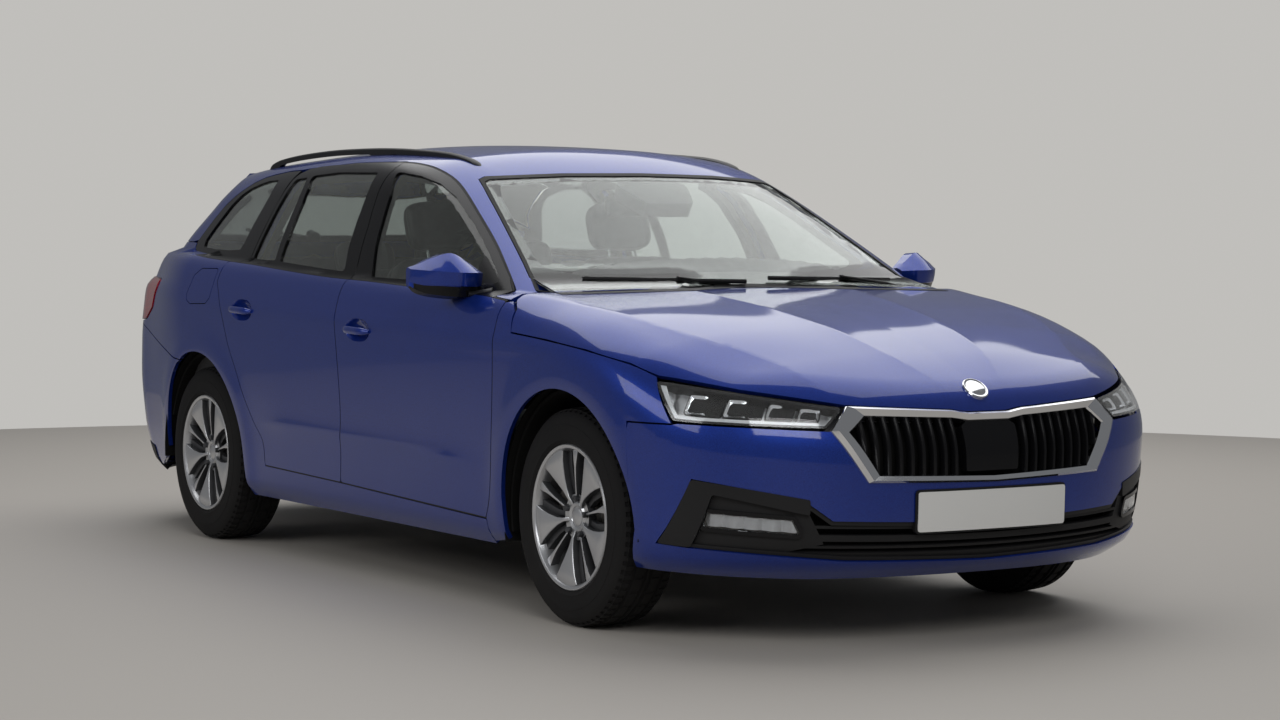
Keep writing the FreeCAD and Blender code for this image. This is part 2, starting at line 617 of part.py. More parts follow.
def door(outline, panes, handle):
    blank = SHELL.common(side_prism(outline)).cut(DOOR_LIMIT)
    for opening in panes:
        blank = blank.cut(side_prism(grown(opening, TRIM_GAP)))
    x, z = handle
    length, thick, height = HANDLE_SIZE
    outer_y = -between(SKIN_Y, z) - HANDLE_STAND
    grip = box(x - length / 2.0, x + length / 2.0, outer_y, outer_y + thick / 2.0,
               z - height / 2.0, z + height / 2.0)
    ends = [box(cx - 14.0, cx + 14.0, outer_y, outer_y + HANDLE_STAND + 20.0,
                z - height / 2.0, z + height / 2.0)
            for cx in (x - length / 2.0 + 14.0, x + length / 2.0 - 14.0)]
    return largest(fused([largest(blank), grip] + ends))


def mirror():
    """Right door mirror on its foot at the door's front corner."""
    sections = [(-905.0, 60.0, 34.0), (-930.0, 85.0, 58.0), (-985.0, 78.0, 56.0),
                (-1005.0, 50.0, 36.0)]
    wires = []
    for y, half_x, half_z in sections:
        ring = Part.Ellipse(Vector(0, 0, 0), half_x, half_z).toShape()
        ring.rotate(Vector(0, 0, 0), Vector(1, 0, 0), 90)
        ring.translate(Vector(848.0, y, 1015.0))
        wires.append(Part.Wire([ring]))
    head = Part.makeLoft(wires, True, True)
    head = head.cut(box(700.0, 800.0, -1100.0, -800.0, 900.0, 1200.0))
    foot = box(815.0, 890.0, -925.0, -870.0, 930.0, 990.0)
    return fused([head, foot]).cut(SHELL)


def roof_rails():
    path = [(392.0, 1360.0), (300.0, 1396.0), (-100.0, 1428.0), (-600.0, 1436.0),
            (-1100.0, 1410.0), (-1240.0, 1380.0)]
    y = -585.0
    parts = [rod((a[0], y, a[1]), (b[0], y, b[1]), 13.0) for a, b in zip(path, path[1:])]
    parts += [Part.makeSphere(13.0, Vector(x, y, z)) for x, z in path]
    return both_sides(solids_over(fused(parts).cut(OUTER), 20000.0))


def fixed_glass():
    screen = PANES.common(
        front_prism(grown_front(WINDSCREEN, -TRIM_GAP), 200.0 + TRIM_GAP, FIREWALL_X + 10.0))
    quarter = pane(QUARTER_PANE)
    return Part.makeCompound([largest(screen), quarter, mirrored(quarter)])


# ---------------------------------------------------------------- cabin
def dashboard():
    """Dashboard with the centre console on the floor."""
    top = y_block([(720, 700), (700, 900), (760, 955), (1000, 965), (FIREWALL_X, 950),
                   (FIREWALL_X, 620), (800, 620)])
    top = top.common(box(0.0, FIREWALL_X - SEAT_GAP, -770.0, 770.0, 0.0, 954.0))
    console = box(-250.0, 820.0, -115.0, 115.0, FLOOR_Z + FLOOR_T, 560.0)
    return largest(fused([top, console]))


def steering_wheel():
    """Wheel and column on the driver's side, the right."""
    ring = Part.makeTorus(178.0, 15.0)
    hub = Part.makeCylinder(62.0, 45.0, Vector(0, 0, -40))
    spokes = [rod((0, 0, -12), (178 * math.cos(a), 178 * math.sin(a), 0), 13.0)
              for a in (0.0, math.pi, 1.5 * math.pi)]
    column = Part.makeCylinder(32.0, 150.0, Vector(0, 0, -175))
    wheel = fused([ring, hub, column] + spokes)
    wheel.rotate(Vector(0, 0, 0), Vector(0, 0, 1), 90)
    wheel.rotate(Vector(0, 0, 0), Vector(0, 1, 0), -66)
    wheel.translate(Vector(560.0, -370.0, 880.0))
    return largest(wheel.cut(dashboard()))


def seat(x, y, width):
    """A seat: cushion, leaning back and head restraint, on its rails."""
    cushion = box(x, x + 500.0, y - width / 2, y + width / 2, 380.0, 540.0)
    base = box(x + 60.0, x + 420.0, y - width / 2 + 40, y + width / 2 - 40,
               FLOOR_Z + FLOOR_T, 390.0)
    back = box(-130.0, 0.0, -width / 2, width / 2, 0.0, 620.0)
    back.rotate(Vector(0, 0, 0), Vector(0, 1, 0), -20)
    back.translate(Vector(x + 60.0, y, 470.0))
    head = box(-95.0, -5.0, -130.0, 130.0, 640.0, 830.0)
    head = head.fuse(box(-65.0, -45.0, -60.0, -45.0, 600.0, 650.0))
    head = head.fuse(box(-65.0, -45.0, 45.0, 60.0, 600.0, 650.0))
    head.rotate(Vector(0, 0, 0), Vector(0, 1, 0), -18)
    head.translate(Vector(x + 60.0, y, 470.0))
    return fused([cushion, base, back, head])


def front_seats():
    return both_sides(seat(-120.0, -370.0, 500.0))


def rear_seat():
    bench = box(-845.0, -400.0, -545.0, 545.0, SEAT_FLOOR_Z + SEAT_GAP, 540.0)
    bench = bench.cut(box(SEAT_STEP_X, 0.0, -REACH, REACH, 0.0, 400.0))
    front = box(SEAT_STEP_X + 30.0, -440.0, -540.0, 540.0, FLOOR_Z + FLOOR_T, 401.0)
    back = box(-110.0, 0.0, -540.0, 540.0, 0.0, 600.0)
    back.rotate(Vector(0, 0, 0), Vector(0, 1, 0), -22)
    back.translate(Vector(-770.0, 0.0, 440.0))
    rear = box(-2500.0, LOAD_FLOOR_X + SEAT_GAP, -REACH, REACH, 0.0, LOAD_FLOOR_Z + SEAT_GAP)
    return fused([bench, front, back]).cut(rear)


# ---------------------------------------------------------------- running gear
def lathe(profile, x, y, z, side):
    """Revolve (radius, outward offset) about a wheel's axis."""
    points = [Vector(r, 0, h) for r, h in profile]
    solid = face_of(points).revolve(Vector(0, 0, 0), Vector(0, 0, 1), 360)
    solid.rotate(Vector(0, 0, 0), Vector(1, 0, 0), 90)
    if side > 0:
        solid.rotate(Vector(0, 0, 0), Vector(0, 0, 1), 180)
    solid.translate(Vector(x, y, z))
    return solid


def tyre(x, side):
    half = TYRE_WIDTH / 2.0
    seat_half = RIM_SEAT_HALF
    profile = [(BEAD_R, -seat_half), (RIM_LIP_R + 1, -seat_half), (240, -half), (275, -half),
               (304, -half + 5), (TYRE_R - 4, -half + 18), (TYRE_R, -half + 34)]
    profile += [(r, -h) for r, h in reversed(profile)]
    return lathe(profile, x, side * TRACK / 2.0, TYRE_R, side)


def rim(x, side):
    """Barrel, lips, hub, five pairs of spokes and the brake disc, in one casting."""
    outer = BEAD_R - SEAT_GAP
    inner = outer - RIM_WALL
    seat_half = RIM_SEAT_HALF
    barrel = [(inner, -seat_half - 3), (RIM_LIP_R, -seat_half - 3),
              (RIM_LIP_R, -seat_half - SEAT_GAP), (outer, -seat_half - SEAT_GAP),
              (outer, seat_half + SEAT_GAP), (RIM_LIP_R, seat_half + SEAT_GAP),
              (RIM_LIP_R, seat_half + 3), (inner, seat_half + 3)]
    hub_back = TRACK / 2.0 - KNUCKLE_FACE
    shapes = [lathe(barrel, 0, 0, 0, -1),
              lathe([(0, -hub_back), (HUB_R, -hub_back), (HUB_R, 72), (0, 72)], 0, 0, 0, -1),
              lathe([(0, -12), (DISC_R, -12), (DISC_R, 12), (0, 12)], 0, 0, 0, -1)]
    for i in range(SPOKES):
        for spread in (-SPOKE_SPREAD, SPOKE_SPREAD):
            bar = Part.makeBox(inner + 4.0 - HUB_R * 0.7, 20.0, 20.0,
                               Vector(HUB_R * 0.7, -82.0, -10.0))
            bar.rotate(Vector(0, 0, 0), Vector(0, 1, 0), 360.0 / SPOKES * i + spread + 90.0)
            shapes.append(bar)
    wheel = fused(shapes)
    if side > 0:
        wheel.rotate(Vector(0, 0, 0), Vector(0, 0, 1), 180)
    wheel.translate(Vector(x, side * TRACK / 2.0, TYRE_R))
    return wheel


KNUCKLE_FACE = 716.0    # where a wheel's hub meets its carrier


def knuckle():
    """Right front upright, its inner face round the kingpin axis."""
    bearing = axle_cylinder(FRONT_AXLE_X, -KNUCKLE_FACE + SEAT_GAP, -650.0, TYRE_R, 48.0)
    upright = box(FRONT_AXLE_X - 40.0, FRONT_AXLE_X + 40.0, -675.0, -600.0, 235.0, 470.0)
    arm = box(FRONT_AXLE_X - 130.0, FRONT_AXLE_X, -690.0, -660.0, 290.0, 315.0)
    round_face = Part.makeCylinder(KNUCKLE_REACH, 600.0, Vector(FRONT_AXLE_X, KINGPIN_Y, 100.0))
    return largest(fused([bearing, upright.common(round_face), arm]))


def front_subframe():
    """Cross member, lower arms and struts, up to the knuckles' round faces."""
    reach = -KINGPIN_Y - KNUCKLE_REACH - SEAT_GAP
    cross = box(FRONT_AXLE_X - 150.0, FRONT_AXLE_X + 90.0, -400.0, 400.0, 175.0, 235.0)
    arms = [box(FRONT_AXLE_X - 45.0, FRONT_AXLE_X + 45.0, side * 390.0, side * reach,
                240.0, 262.0) if side > 0 else
            box(FRONT_AXLE_X - 45.0, FRONT_AXLE_X + 45.0, side * reach, side * 390.0,
                240.0, 262.0) for side in (-1, 1)]
    posts = [box(FRONT_AXLE_X - 30.0, FRONT_AXLE_X + 30.0, min(side * 390.0, side * 330.0),
                 max(side * 390.0, side * 330.0), 200.0, 262.0) for side in (-1, 1)]
    legs = [box(FIREWALL_X + FIREWALL_T, FRONT_AXLE_X - 140.0, y - 40.0, y + 40.0,
                FLOOR_Z + 5.0, SUBFRAME_TOP_Z) for y in (-340.0, 340.0)]
    shapes = [cross] + posts + legs
    for arm in arms:
        shapes.append(arm)
    shapes += [box(FRONT_AXLE_X - 45.0, FRONT_AXLE_X + 45.0, min(side * 395.0, side * 340.0),
                   max(side * 395.0, side * 340.0), 225.0, 262.0) for side in (-1, 1)]
    return fused(shapes)


def rear_axle():
    """Twist beam with trailing arms, and a stub for each hub."""
    shapes = [box(REAR_AXLE_X + 90.0, REAR_AXLE_X + 170.0, -540.0, 540.0, 250.0, 330.0)]
    for side in (-1, 1):
        y0, y1 = sorted((side * 470.0, side * 540.0))
        shapes.append(box(REAR_AXLE_X - 60.0, REAR_AXLE_X + 480.0, y0, y1, 262.0, 330.0))
        shapes.append(box(REAR_AXLE_X + 400.0, REAR_AXLE_X + 470.0, y0, y1, 300.0,
                          SEAT_FLOOR_Z - FLOOR_SHEET - SEAT_GAP))
        shapes.append(axle_cylinder(REAR_AXLE_X, side * 470.0,
                                    side * (KNUCKLE_FACE - SEAT_GAP), TYRE_R, 46.0))
    return fused(shapes)


def liners():
    """Wheel housings: a half round shell over each wheel, closed inboard at the rear."""
    pieces = []
    for x, inner, walled in ((FRONT_AXLE_X, FRONT_LINER_INNER_Y, False),
                             (REAR_AXLE_X, REAR_LINER_INNER_Y, True)):
        outer_r = ARCH_R - SEAT_GAP
        start = -inner - SEAT_GAP
        shell = axle_cylinder(x, start, -850.0, TYRE_R, outer_r)
        shell = shell.cut(axle_cylinder(x, start + 1.0, -900.0, TYRE_R, ARCH_R - LINER_T))
        if walled:
            shell = shell.fuse(axle_cylinder(x, start, start - LINER_T, TYRE_R, outer_r))
            shell = shell.cut(box(x - 500, x + 500, -900, 0, 0, TYRE_R + 120.0))
        shell = shell.common(box(x - 500, x + 500, -900, 0, FLOOR_Z + 60.0, 1200.0))
        pieces.append(solids_over(shell.cut(REAR_DOOR_SWEEP), 1000.0))
    right = Part.makeCompound(pieces)
    return both_sides(right)


REAR_DOOR_SWEEP = side_prism(grown(REAR_DOOR, GAP))


def exhaust():
    pipe = rod((1100.0, 60.0, 165.0), (-1500.0, 60.0, 175.0), 26.0)
    link = rod((-1500.0, 60.0, 175.0), (-1700.0, 300.0, 230.0), 26.0)
    box_rear = box(-2100.0, -1680.0, 200.0, 420.0, 200.0, 330.0)
    tip = rod((-2090.0, 330.0, 250.0), (CABIN_REAR_X + 8.0, 330.0, 236.0), 28.0)
    return fused([pipe, link, box_rear, tip]).cut(
        box(SEAT_STEP_X - 60.0, 2000.0, -900.0, 900.0, FLOOR_Z - SEAT_GAP, 400.0))


def engine_block():
    low, high = ENGINE
    return box(low[0], high[0], low[1], high[1], low[2], high[2])


# ---------------------------------------------------------------- build
def build():
    right_front_door = door(FRONT_DOOR, [FRONT_PANE], HANDLES[0])
    right_rear_door = door(REAR_DOOR, [REAR_PANE, FIXED_PANE], HANDLES[1]).cut(ARCHES)
    rear_panes = Part.makeCompound([pane(REAR_PANE), pane(FIXED_PANE)])
    pairs = {
        "front_door": right_front_door,
        "rear_door": right_rear_door,
        "front_door_glass": pane(FRONT_PANE),
        "rear_door_glass": rear_panes,
        "door_mirror": mirror(),
        "knuckle": knuckle(),
    }
    pieces = {
        "floor_pan": floor_pan(),
        "roof": roof(),
        "wings": wings(),
        "bonnet": bonnet(),
        "front_bumper": front_bumper(),
        "headlamps": headlamps(),
        "grille": grille(),
        "rear_bumper": rear_bumper(),
        "tail_lamps": tail_lamps(),
        "tailgate": tailgate(),
        "tailgate_glass": tailgate_glass(),
        "tailgate_lamps": tailgate_lamps(),
        "fuel_flap": fuel_flap(),
        "fixed_glass": fixed_glass(),
        "roof_rails": roof_rails(),
        "dashboard": dashboard(),
        "steering_wheel": steering_wheel(),
        "front_seats": front_seats(),
        "rear_seat": rear_seat(),
        "engine_block": engine_block(),
        "front_subframe": front_subframe(),
        "rear_axle": rear_axle(),
        "wheel_liners": liners(),
        "exhaust": exhaust(),
    }
    pieces["body_side_right"] = body_side(True)
    pieces["body_side_left"] = mirrored(body_side(False))
    for name, shape in pairs.items():
        pieces[name + "_right"] = shape
        pieces[name + "_left"] = mirrored(shape)
    for end, x in (("front", FRONT_AXLE_X), ("rear", REAR_AXLE_X)):
        for hand, side_sign in (("right", -1), ("left", 1)):
            pieces[f"tyre_{end}_{hand}"] = tyre(x, side_sign)
            pieces[f"rim_{end}_{hand}"] = rim(x, side_sign)
    return pieces


if __name__ == "__main__":
    os.makedirs("parts", exist_ok=True)
    for name, shape in build().items():
        print(f"{name:24s} solids {len(shape.Solids)} valid {shape.isValid()} "
              f"litres {shape.Volume / 1e6:.2f}")
        shape.exportStep(f"parts/{name}.step")
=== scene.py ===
"""Dresses a station wagon: painted panels, glass, lamps, wheels and cabin on the solid frame."""
from bisect import bisect_right
from math import atan2, ceil, copysign, cos, dist, exp, hypot, radians, sin, tan, tau

import bmesh
import bpy
from bpy.props import FloatProperty, FloatVectorProperty, IntProperty, PointerProperty
from bpy.types import Operator, Panel, PropertyGroup
from mathutils import Matrix, Vector


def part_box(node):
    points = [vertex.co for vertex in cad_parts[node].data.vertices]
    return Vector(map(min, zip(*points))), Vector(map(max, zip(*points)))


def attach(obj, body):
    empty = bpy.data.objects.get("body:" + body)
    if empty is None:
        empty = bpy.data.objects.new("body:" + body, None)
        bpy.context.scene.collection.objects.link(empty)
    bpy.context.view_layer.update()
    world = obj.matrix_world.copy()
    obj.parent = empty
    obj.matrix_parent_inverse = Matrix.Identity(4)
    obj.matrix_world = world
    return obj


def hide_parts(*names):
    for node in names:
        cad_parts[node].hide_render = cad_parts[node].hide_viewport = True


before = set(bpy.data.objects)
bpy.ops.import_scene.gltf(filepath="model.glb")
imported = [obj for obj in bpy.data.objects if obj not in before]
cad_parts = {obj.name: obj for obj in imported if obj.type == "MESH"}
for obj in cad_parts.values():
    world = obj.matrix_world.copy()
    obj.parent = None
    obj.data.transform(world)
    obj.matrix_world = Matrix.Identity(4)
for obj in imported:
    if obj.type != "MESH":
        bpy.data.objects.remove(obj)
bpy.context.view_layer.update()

bl_info = {"name": "Station wagon dressing", "version": (1, 0, 0), "blender": (4, 5, 0),
    "location": "3D View > Sidebar > Wagon",
    "description": "Builds the visible skin, glass, wheels and cabin of a station wagon",
    "category": "Object"}

HANDS = (("right", -1.0), ("left", 1.0))
CENTRE = (("", -1.0),)
AHEAD, LEFT, UP = Vector((1, 0, 0)), Vector((0, 1, 0)), Vector((0, 0, 1))


def middle(node):
    low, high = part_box(node)
    return (Vector(low) + Vector(high)) / 2.0


FRONT_X = middle("tyre_front_right").x
REAR_X = middle("tyre_rear_right").x
AXLE_Z = middle("tyre_front_right").z
ARCH_R = 0.378


def mm(*rows):
    """Rows of millimetres as tuples of metres."""
    return [tuple(value / 1000.0 for value in row) for row in rows]


# ---- sizes and colours
class WagonSizes(PropertyGroup):
    pitch: FloatProperty(name="Panel mesh pitch", description="Size of a panel's faces",
        default=0.022, unit="LENGTH")
    skin: FloatProperty(name="Skin", description="Thickness of an outer panel with its hem",
        default=0.014, unit="LENGTH")
    tread_depth: FloatProperty(name="Tread depth", description="Depth of a tyre's grooves",
        default=0.006, unit="LENGTH")
    tread_blocks: IntProperty(name="Tread blocks", description="Blocks round a tyre", default=68)
    slats: IntProperty(name="Grille slats", description="Upright slats on each half", default=9)


def colour(name, description, value):
    return FloatVectorProperty(name=name, description=description, subtype="COLOR", size=4,
        default=(*value, 1.0))


class WagonColours(PropertyGroup):
    paint: colour("Paint", "Body colour", (0.003, 0.016, 0.16))
    flake: colour("Flake", "Colour of the metal flake", (0.012, 0.055, 0.42))
    rubber: colour("Rubber", "Tyre colour", (0.008, 0.008, 0.009))
    alloy: colour("Alloy", "Wheel colour", (0.62, 0.63, 0.65))
    cloth: colour("Seat cloth", "Seat colour", (0.02, 0.021, 0.024))
    floor: colour("Floor", "Studio floor colour", (0.5, 0.47, 0.43))


def sizes():
    return bpy.context.scene.wagon_sizes


def colours():
    return bpy.context.scene.wagon_colours


# ---- form of the body
class Curve:
    """A smooth line through rows of (key, value)."""

    def __init__(self, rows):
        rows = sorted(rows)
        self.keys = [row[0] for row in rows]
        self.values = [row[1] for row in rows]
        steps = [(b[1] - a[1]) / (b[0] - a[0]) for a, b in zip(rows, rows[1:])]
        self.slopes = [steps[0]]
        for a, b in zip(steps, steps[1:]):
            self.slopes.append(0.0 if a * b <= 0.0 else 2.0 * a * b / (a + b))
        self.slopes.append(steps[-1])

    def __call__(self, key):
        keys = self.keys
        if key <= keys[0]:
            return self.values[0] + self.slopes[0] * (key - keys[0])
        if key >= keys[-1]:
            return self.values[-1] + self.slopes[-1] * (key - keys[-1])
        i = bisect_right(keys, key) - 1
        span = keys[i + 1] - keys[i]
        t = (key - keys[i]) / span
        a, b = self.values[i], self.values[i + 1]
        m, n = self.slopes[i] * span, self.slopes[i + 1] * span
        return a + t * (m + t * (3 * (b - a) - 2 * m - n + t * (2 * (a - b) + m + n)))


def column(rows, i, key=0):
    return Curve([(row[key], row[i]) for row in rows])


# Lower body. Columns: height at x = 0, rise to the rear, half width, nose x, tail x.
LOWER_SECTIONS = mm((186, 0, 826, 2232, -2215), (250, 0, 866, 2318, -2300),
    (318, 10, 875, 2338, -2335), (430, 10, 884, 2343, -2343), (560, 12, 896, 2344, -2344),
    (700, 18, 906, 2325, -2338), (800, 22, 912, 2298, -2312), (850, 25, 914.5, 2275, -2294),
    (866, 26, 912.5, 2264, -2286), (900, 31, 904, 2225, -2258), (940, 36, 893, 2170, -2225),
    (1001.5, 40, 864, 2080, -2178), (1060, 40, 825, 2000, -2130))
RISE = column(LOWER_SECTIONS, 1)
WIDTH = column(LOWER_SECTIONS, 2)
NOSE = column(LOWER_SECTIONS, 3)
TAIL = column(LOWER_SECTIONS, 4)
NOSE_ROUND, NOSE_POWER = 0.64, 2.4
TAIL_ROUND, TAIL_POWER = 0.42, 2.3
FLARE, FLARE_R, FLARE_W = 0.005, 0.405, 0.055
BELT_Z, BELT_RISE = 1.0015, 0.04
# The sides draw in behind the rear wheels, more so above the lamps.
TAPER_X, TAPER_RUN = -1.35, 0.8
TAPER = Curve(mm((200, 120), (300, 100), (400, 88), (520, 86), (700, 96), (850, 110), (935, 122),
    (975, 150), (1060, 150)))
LOW_FOLD, LOW_FOLD_Z = 0.007, 0.462

# Glasshouse. Columns: height, screen centre x, screen corner x and y, front pillar x and y,
# half width amidships, rear pillar x and y, back corner x and y, back centre x.
GLASSHOUSE = mm((900, 1262, 1148, 756, 1100, 826, 872, -1800, 785, -2110, 610, -2238),
    (1100, 905, 797, 668, 742, 742, 812, -1745, 713, -1975, 552, -2150), (1250, 640, 533, 606, 470,
    672, 745, -1680, 640, -1845, 482, -2035), (1360, 445, 340, 560, 270, 616, 676, -1612, 582,
    -1760, 445, -1940), (1425, 330, 226, 532, 150, 572, 610, -1560, 548, -1745, 440, -1880))
SCREEN_X, CORNER_X, CORNER_Y = (column(GLASSHOUSE, i) for i in (1, 2, 3))
PILLAR_X, PILLAR_Y, MIDDLE_Y = (column(GLASSHOUSE, i) for i in (4, 5, 6))
REAR_PILLAR_X, REAR_PILLAR_Y = (column(GLASSHOUSE, i) for i in (7, 8))
BACK_CORNER_X, BACK_CORNER_Y, BACK_X = (column(GLASSHOUSE, i) for i in (9, 10, 11))
WIDEST_X = -0.2

ROOF_SECTIONS = mm((700, 1300, 60), (400, 1395, 58), (100, 1440, 55), (-500, 1461, 55),
    (-1200, 1440, 58), (-1900, 1378, 60), (-2300, 1320, 62))
ROOF_Z, ROOF_DROP = column(ROOF_SECTIONS, 1), column(ROOF_SECTIONS, 2)
ROOF_EDGE_Y = 0.6
BONNET_SECTIONS = mm((850, 1003, 18), (1200, 974, 22), (1500, 938, 30), (1800, 884, 62),
    (2050, 812, 108), (2250, 722, 96), (2420, 600, 90))
BONNET_Z, BONNET_DROP = column(BONNET_SECTIONS, 1), column(BONNET_SECTIONS, 2)
BONNET_EDGE_Y = 0.8
# Here the shoulders beside the glass pass into the bonnet.
DECK_X = 0.95
# Creases pressed in the bonnet: half width by x, height of the ridge, reach to each side.
CREASES = [(Curve(mm((1150, 305), (1300, 289), (1750, 226), (2040, 180), (2250, 105))), 0.006,
    0.09), (Curve(mm((1150, 800), (1275, 785), (1652, 712), (1964, 575), (2216, 478))), 0.01,
    0.12)]


def ease(t):
    t = min(max(t, 0.0), 1.0)
    return t * t * (3.0 - 2.0 * t)


def round_max(a, b, radius):
    """The larger of two, with the corner between them rounded off."""
    share = max(radius - abs(a - b), 0.0) / radius
    return max(a, b) + share * share * radius * 0.25


def deck_height(x, y):
    """Top of the bonnet, and of the shoulders beside the glass."""
    belt = BELT_Z - BELT_RISE * x
    if x < DECK_X:
        return belt
    crown = BONNET_Z(x) - BONNET_DROP(x) * (y / BONNET_EDGE_Y) ** 3
    fade = ease((2.3 - x) / 0.25)
    for half, height, reach in CREASES:
        crown += height * fade * exp(-abs(y - half(x)) / reach)
    return belt + (crown - belt) * ease((x - DECK_X) / 0.2)


def body_field(x, y, z):
    """Below zero inside the body, above zero outside it."""
    y = abs(y)
    level = z + RISE(z) * x
    width = WIDTH(level)
    if -0.75 < x < 1.0:
        fold = ease((x + 0.75) / 0.3) * ease((1.0 - x) / 0.3)
        width += LOW_FOLD * fold * exp(-abs(level - LOW_FOLD_Z) / 0.045)
    if x < TAPER_X:
        width -= TAPER(z) * ease((TAPER_X - x) / TAPER_RUN)
    for axle_x in (FRONT_X, REAR_X):
        away = hypot(x - axle_x, z - AXLE_Z) - FLARE_R
        if abs(away) < 0.15:
            width += FLARE * exp(-(away / FLARE_W) ** 2)
    front = (x - NOSE(level) + NOSE_ROUND) / NOSE_ROUND
    rear = (TAIL(level) + TAIL_ROUND - x) / TAIL_ROUND
    side = y - width
    if front > 0.0:
        side = (((y / width) ** NOSE_POWER + front ** NOSE_POWER) ** (1 / NOSE_POWER) - 1) * width
    elif rear > 0.0:
        side = (((y / width) ** TAIL_POWER + rear ** TAIL_POWER) ** (1 / TAIL_POWER) - 1) * width
    low = round_max(side, z - deck_height(x, y), 0.04 + 0.09 * ease((x - DECK_X) / 0.4))
    if z < 0.88:
        return low
    z_top, z = z, min(z, 1.5)
    half = MIDDLE_Y(z)
    if x > WIDEST_X:
        half -= (half - PILLAR_Y(z)) * ((x - WIDEST_X) / (PILLAR_X(z) - WIDEST_X)) ** 2
    else:
        half -= (half - REAR_PILLAR_Y(z)) * ((x - WIDEST_X) / (REAR_PILLAR_X(z) - WIDEST_X)) ** 2
    drop = SCREEN_X(z) - CORNER_X(z)
    screen = (x - SCREEN_X(z) + drop * (y / CORNER_Y(z)) ** 2.2) * 0.5
    drop = BACK_CORNER_X(z) - BACK_X(z)
    back = (BACK_X(z) + drop * (y / BACK_CORNER_Y(z)) ** 2.2 - x) * 0.8
    roof = z_top - ROOF_Z(x) + ROOF_DROP(x) * (y / ROOF_EDGE_Y) ** 2.2
    top = round_max(round_max(y - half, roof, 0.09), max(screen, back), 0.08)
    return min(low, top)


def body_normal(point):
    """Outward direction of the body's surface."""
    step = 0.0015
    x, y, z = point
    slope = Vector((body_field(x + step, y, z) - body_field(x - step, y, z),
        body_field(x, y + step, z) - body_field(x, y - step, z), body_field(x, y, z + step)
        - body_field(x, y, z - step)))
    return slope.normalized()


# A ray stops this near to the body, or after this many steps.
MEET_NEAR, MEET_STEPS = 2e-6, 24


def meet(start, way, reach):
    """Where a ray from outside meets the body, by false position."""
    a, b = 0.0, reach
    fa = body_field(*start)
    fb = body_field(*(start + way * reach))
    if fb > 0.0 or fa < 0.0:
        return start + way * reach
    last = 0
    for _ in range(MEET_STEPS):
        t = (a * fb - b * fa) / (fb - fa)
        f = body_field(*(start + way * t))
        if abs(f) < MEET_NEAR:
            break
        if f > 0.0:
            a, fa = t, f
            if last == 1:
                fb *= 0.5
            last = 1
        else:
            b, fb = t, f
            if last == -1:
                fa *= 0.5
            last = -1
    return start + way * t


# Ways of laying a flat sheet on the body: from flat (u, v) to a point on the surface, and
# from a point back to the flat sheet.
class OnBody:
    """The parent of the ways: the surface direction is the body's own."""

    def normal(self, point):
        return body_normal(point)


class FromSide(OnBody):
    """u is x, v is z, on the right side."""

    def place(self, u, v):
        return meet(Vector((u, -1.1, v)), LEFT, 1.05)

    def flat(self, point):
        return (point[0], point[2])


class FromFront(OnBody):
    """u is y, v is z, seen from the nose or from the tail."""

    def __init__(self, start_x, reach):
        self.start_x, self.reach = start_x, reach

    def place(self, u, v):
        way = Vector((-1 if self.start_x > 0 else 1, 0, 0))
        return meet(Vector((self.start_x, u, v)), way, self.reach)

    def flat(self, point):
        return (point[1], point[2])


class Around(OnBody):
    """Rays from an axis along x: u is x, v goes over the top from right (-) to left (+)."""

    def __init__(self, axis_z, radius):
        self.axis_z, self.radius = axis_z, radius

    def place(self, u, v):
        turn = v / self.radius
        way = Vector((0, sin(turn), cos(turn)))
        return meet(Vector((u, 0, self.axis_z)) + way * 1.4, -way, 1.4)

    def flat(self, point):
        return (point[0], atan2(point[1], point[2] - self.axis_z) * self.radius)


class RoundEnd(OnBody):
    """Rays from an upright axis: u goes round the end from right (-) to left (+), v is z."""

    def __init__(self, axis_x, end, radius):
        self.axis_x, self.end, self.radius = axis_x, end, radius

    def place(self, u, v):
        turn = u / self.radius
        way = Vector((self.end * cos(turn), sin(turn), 0))
        return meet(Vector((self.axis_x, 0, v)) + way * 1.3, -way, 1.3)

    def flat(self, point):
        away = (point[0] - self.axis_x) * self.end
        return (atan2(point[1], away) * self.radius, point[2])


SIDE = FromSide()
SCREEN = FromFront(2.4, 2.3)
BACK = FromFront(-2.6, 2.0)
TOP = Around(0.8, 0.75)
HOOD = Around(0.4, 0.75)
NOSE_END = RoundEnd(1.45, 1.0, 0.88)
TAIL_END = RoundEnd(-1.45, -1.0, 0.88)


# ---- flat outlines
def flow(points, steps=6):
    """An open run of points, made smooth."""
    out = []
    padded = [points[0]] + list(points) + [points[-1]]
    for p, a, b, q in zip(padded, padded[1:], padded[2:], padded[3:]):
        for i in range(steps):
            t = i / steps
            out.append(tuple(0.5 * (2 * a[k] + (b[k] - p[k]) * t
                + (2 * p[k] - 5 * a[k] + 4 * b[k] - q[k]) * t * t
                + (3 * a[k] - p[k] - 3 * b[k] + q[k]) * t ** 3) for k in range(len(a))))
    out.append(tuple(points[-1]))
    return out


def dense(points, step, closed=True):
    """More points along straight runs."""
    out = []
    ends = points[1:] + points[:1] if closed else points[1:]
    for a, b in zip(points, ends):
        count = max(1, ceil(dist(a, b) / step))
        out += [tuple(a[k] + (b[k] - a[k]) * i / count for k in range(len(a))) for i
            in range(count)]
    if not closed:
        out.append(points[-1])
    return out


# A corner that is flatter than this is left as it is.
NEARLY_STRAIGHT = radians(164)


